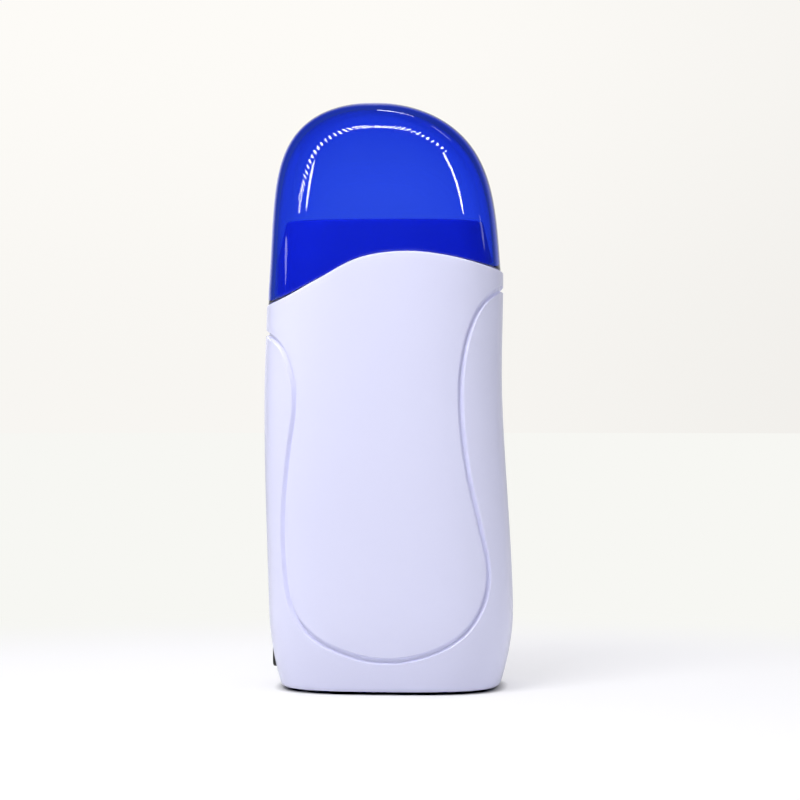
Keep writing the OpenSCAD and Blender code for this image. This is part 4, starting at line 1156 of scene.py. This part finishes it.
# %% [markdown]
# The bright marks in the lid are mirror images of a ring of small lamps and a few strips. Here they
# are thin glowing panels that only mirrors show, so the level of the light on the object stays
# plain. Their places were found by following a ray from the camera to the mark and mirroring it.

# %% Lamps that only mirrors show
LID_MIDDLE = np.array([0, 0, 165.0])
ARC = [(-454, -255, 274), (-427, -281, 310), (-403, -283, 362), (-366, -275, 430),
       (-306, -257, 509), (-226, -227, 581), (-146, -189, 629), (-85, -154, 655),
       (-54, -133, 665), (-34, -128, 667), (-3, -137, 665), (55, -156, 657), (130, -178, 636),
       (216, -192, 599), (304, -185, 548)]
DASHES, DASH_WIDE, DASH_SLANT, DASH_REACH, DASH_POWER = 38, 0.14, 0.16, 24.0, 42.0
STRIPS = {
    "Left strip": (26, 24, [(-388, -349, 265), (-370, -351, 311), (-344, -334, 389),
                            (-324, -311, 443)]),
    "Right strip": (32, 30, [(424, -294, 283), (406, -298, 323), (370, -293, 399),
                             (311, -266, 493), (283, -233, 541)]),
    "Top strip": (14, 10, [(-42, 244, 613), (-3, 206, 634), (77, 171, 642)]),
    "Far strip": (14, 4, [(177, 109, 636), (245, 86, 611), (319, 74, 566)]),
    "Low left": (16, 4, [(-527, -21, 215), (-525, -58, 212), (-524, -85, 206)]),
    "Low right": (24, 2, [(515, 20, 270), (515, 59, 243), (511, 100, 224)]),
}


def unit(rows):
    """Every row of vectors at length 1."""
    return rows / np.linalg.norm(rows, axis=1, keepdims=True)


def panel(name, corners, strength):
    """Glowing panels that only mirror images show. Each is four corners in mm."""
    made = placed(name, corners.reshape(-1, 3), np.arange(4 * len(corners)).reshape(-1, 4))
    made.visible_camera = made.visible_diffuse = made.visible_transmission = False
    made.visible_shadow = made.visible_volume_scatter = False
    glow, tree, _ = new_material(name)
    show(tree, node(tree, "ShaderNodeEmission", Color=WHITE, Strength=strength))
    made.data.materials.append(glow)


def ribbon(path, width):
    """Quads along a path that face the lid, widest in the middle: width * sin(pi * share)^0.5."""
    out = unit(np.cross(np.gradient(path, axis=0), LID_MIDDLE - path))
    share = np.linspace(0, 1, len(path))
    half = (width / 2 * np.sqrt(np.sin(np.pi * share) + 0.02))[:, None] * out
    a, b = path - half, path + half
    return np.stack([a[:-1], b[:-1], b[1:], a[1:]], 1)


arc = glide(ARC, 40)
at = np.linspace(0, len(arc) - 1, DASHES).astype(int)
step = np.gradient(arc, axis=0)[at] * (len(arc) - 1) / (DASHES - 1)
across = unit(np.cross(step, unit(LID_MIDDLE - arc[at])))
wide_way = step * DASH_WIDE
long_way = step * DASH_SLANT + across * DASH_REACH
dashes = arc[at][:, None, :] + np.stack([-long_way - wide_way, long_way - wide_way,
                                         long_way + wide_way, -long_way + wide_way], 1)
panel("Ring of lamps", dashes, DASH_POWER)
for name, (width, strength, path) in STRIPS.items():
    panel(name, ribbon(glide(path, 16), width), strength)
print(DASHES, "small lamps and", len(STRIPS), "strips")

# %% [markdown]
# ## The picture
# The camera stands level, 78 cm away and turned by 4 degrees, with a long lens, as in the product
# photo.

# %% Camera
LENS_PIXELS, PICTURE_PIXELS, SENSOR = 2397, 800, 36.0
CAMERA_TURN, CAMERA_AWAY, CAMERA_ASIDE, CAMERA_HIGH = math.radians(4), 0.780, 0.00321, 0.09284
scene = bpy.context.scene
scene.view_settings.view_transform = "Standard"
camera_data = bpy.data.cameras.new("Camera")
camera_data.sensor_width, camera_data.lens = SENSOR, LENS_PIXELS * SENSOR / PICTURE_PIXELS
camera = bpy.data.objects.new("Camera", camera_data)
scene.collection.objects.link(camera)
sine, cosine = math.sin(CAMERA_TURN), math.cos(CAMERA_TURN)
camera.location = (sine * CAMERA_AWAY + cosine * CAMERA_ASIDE,
                   -cosine * CAMERA_AWAY + sine * CAMERA_ASIDE, CAMERA_HIGH)
camera.rotation_euler = (math.radians(90), 0, CAMERA_TURN)
scene.camera = camera
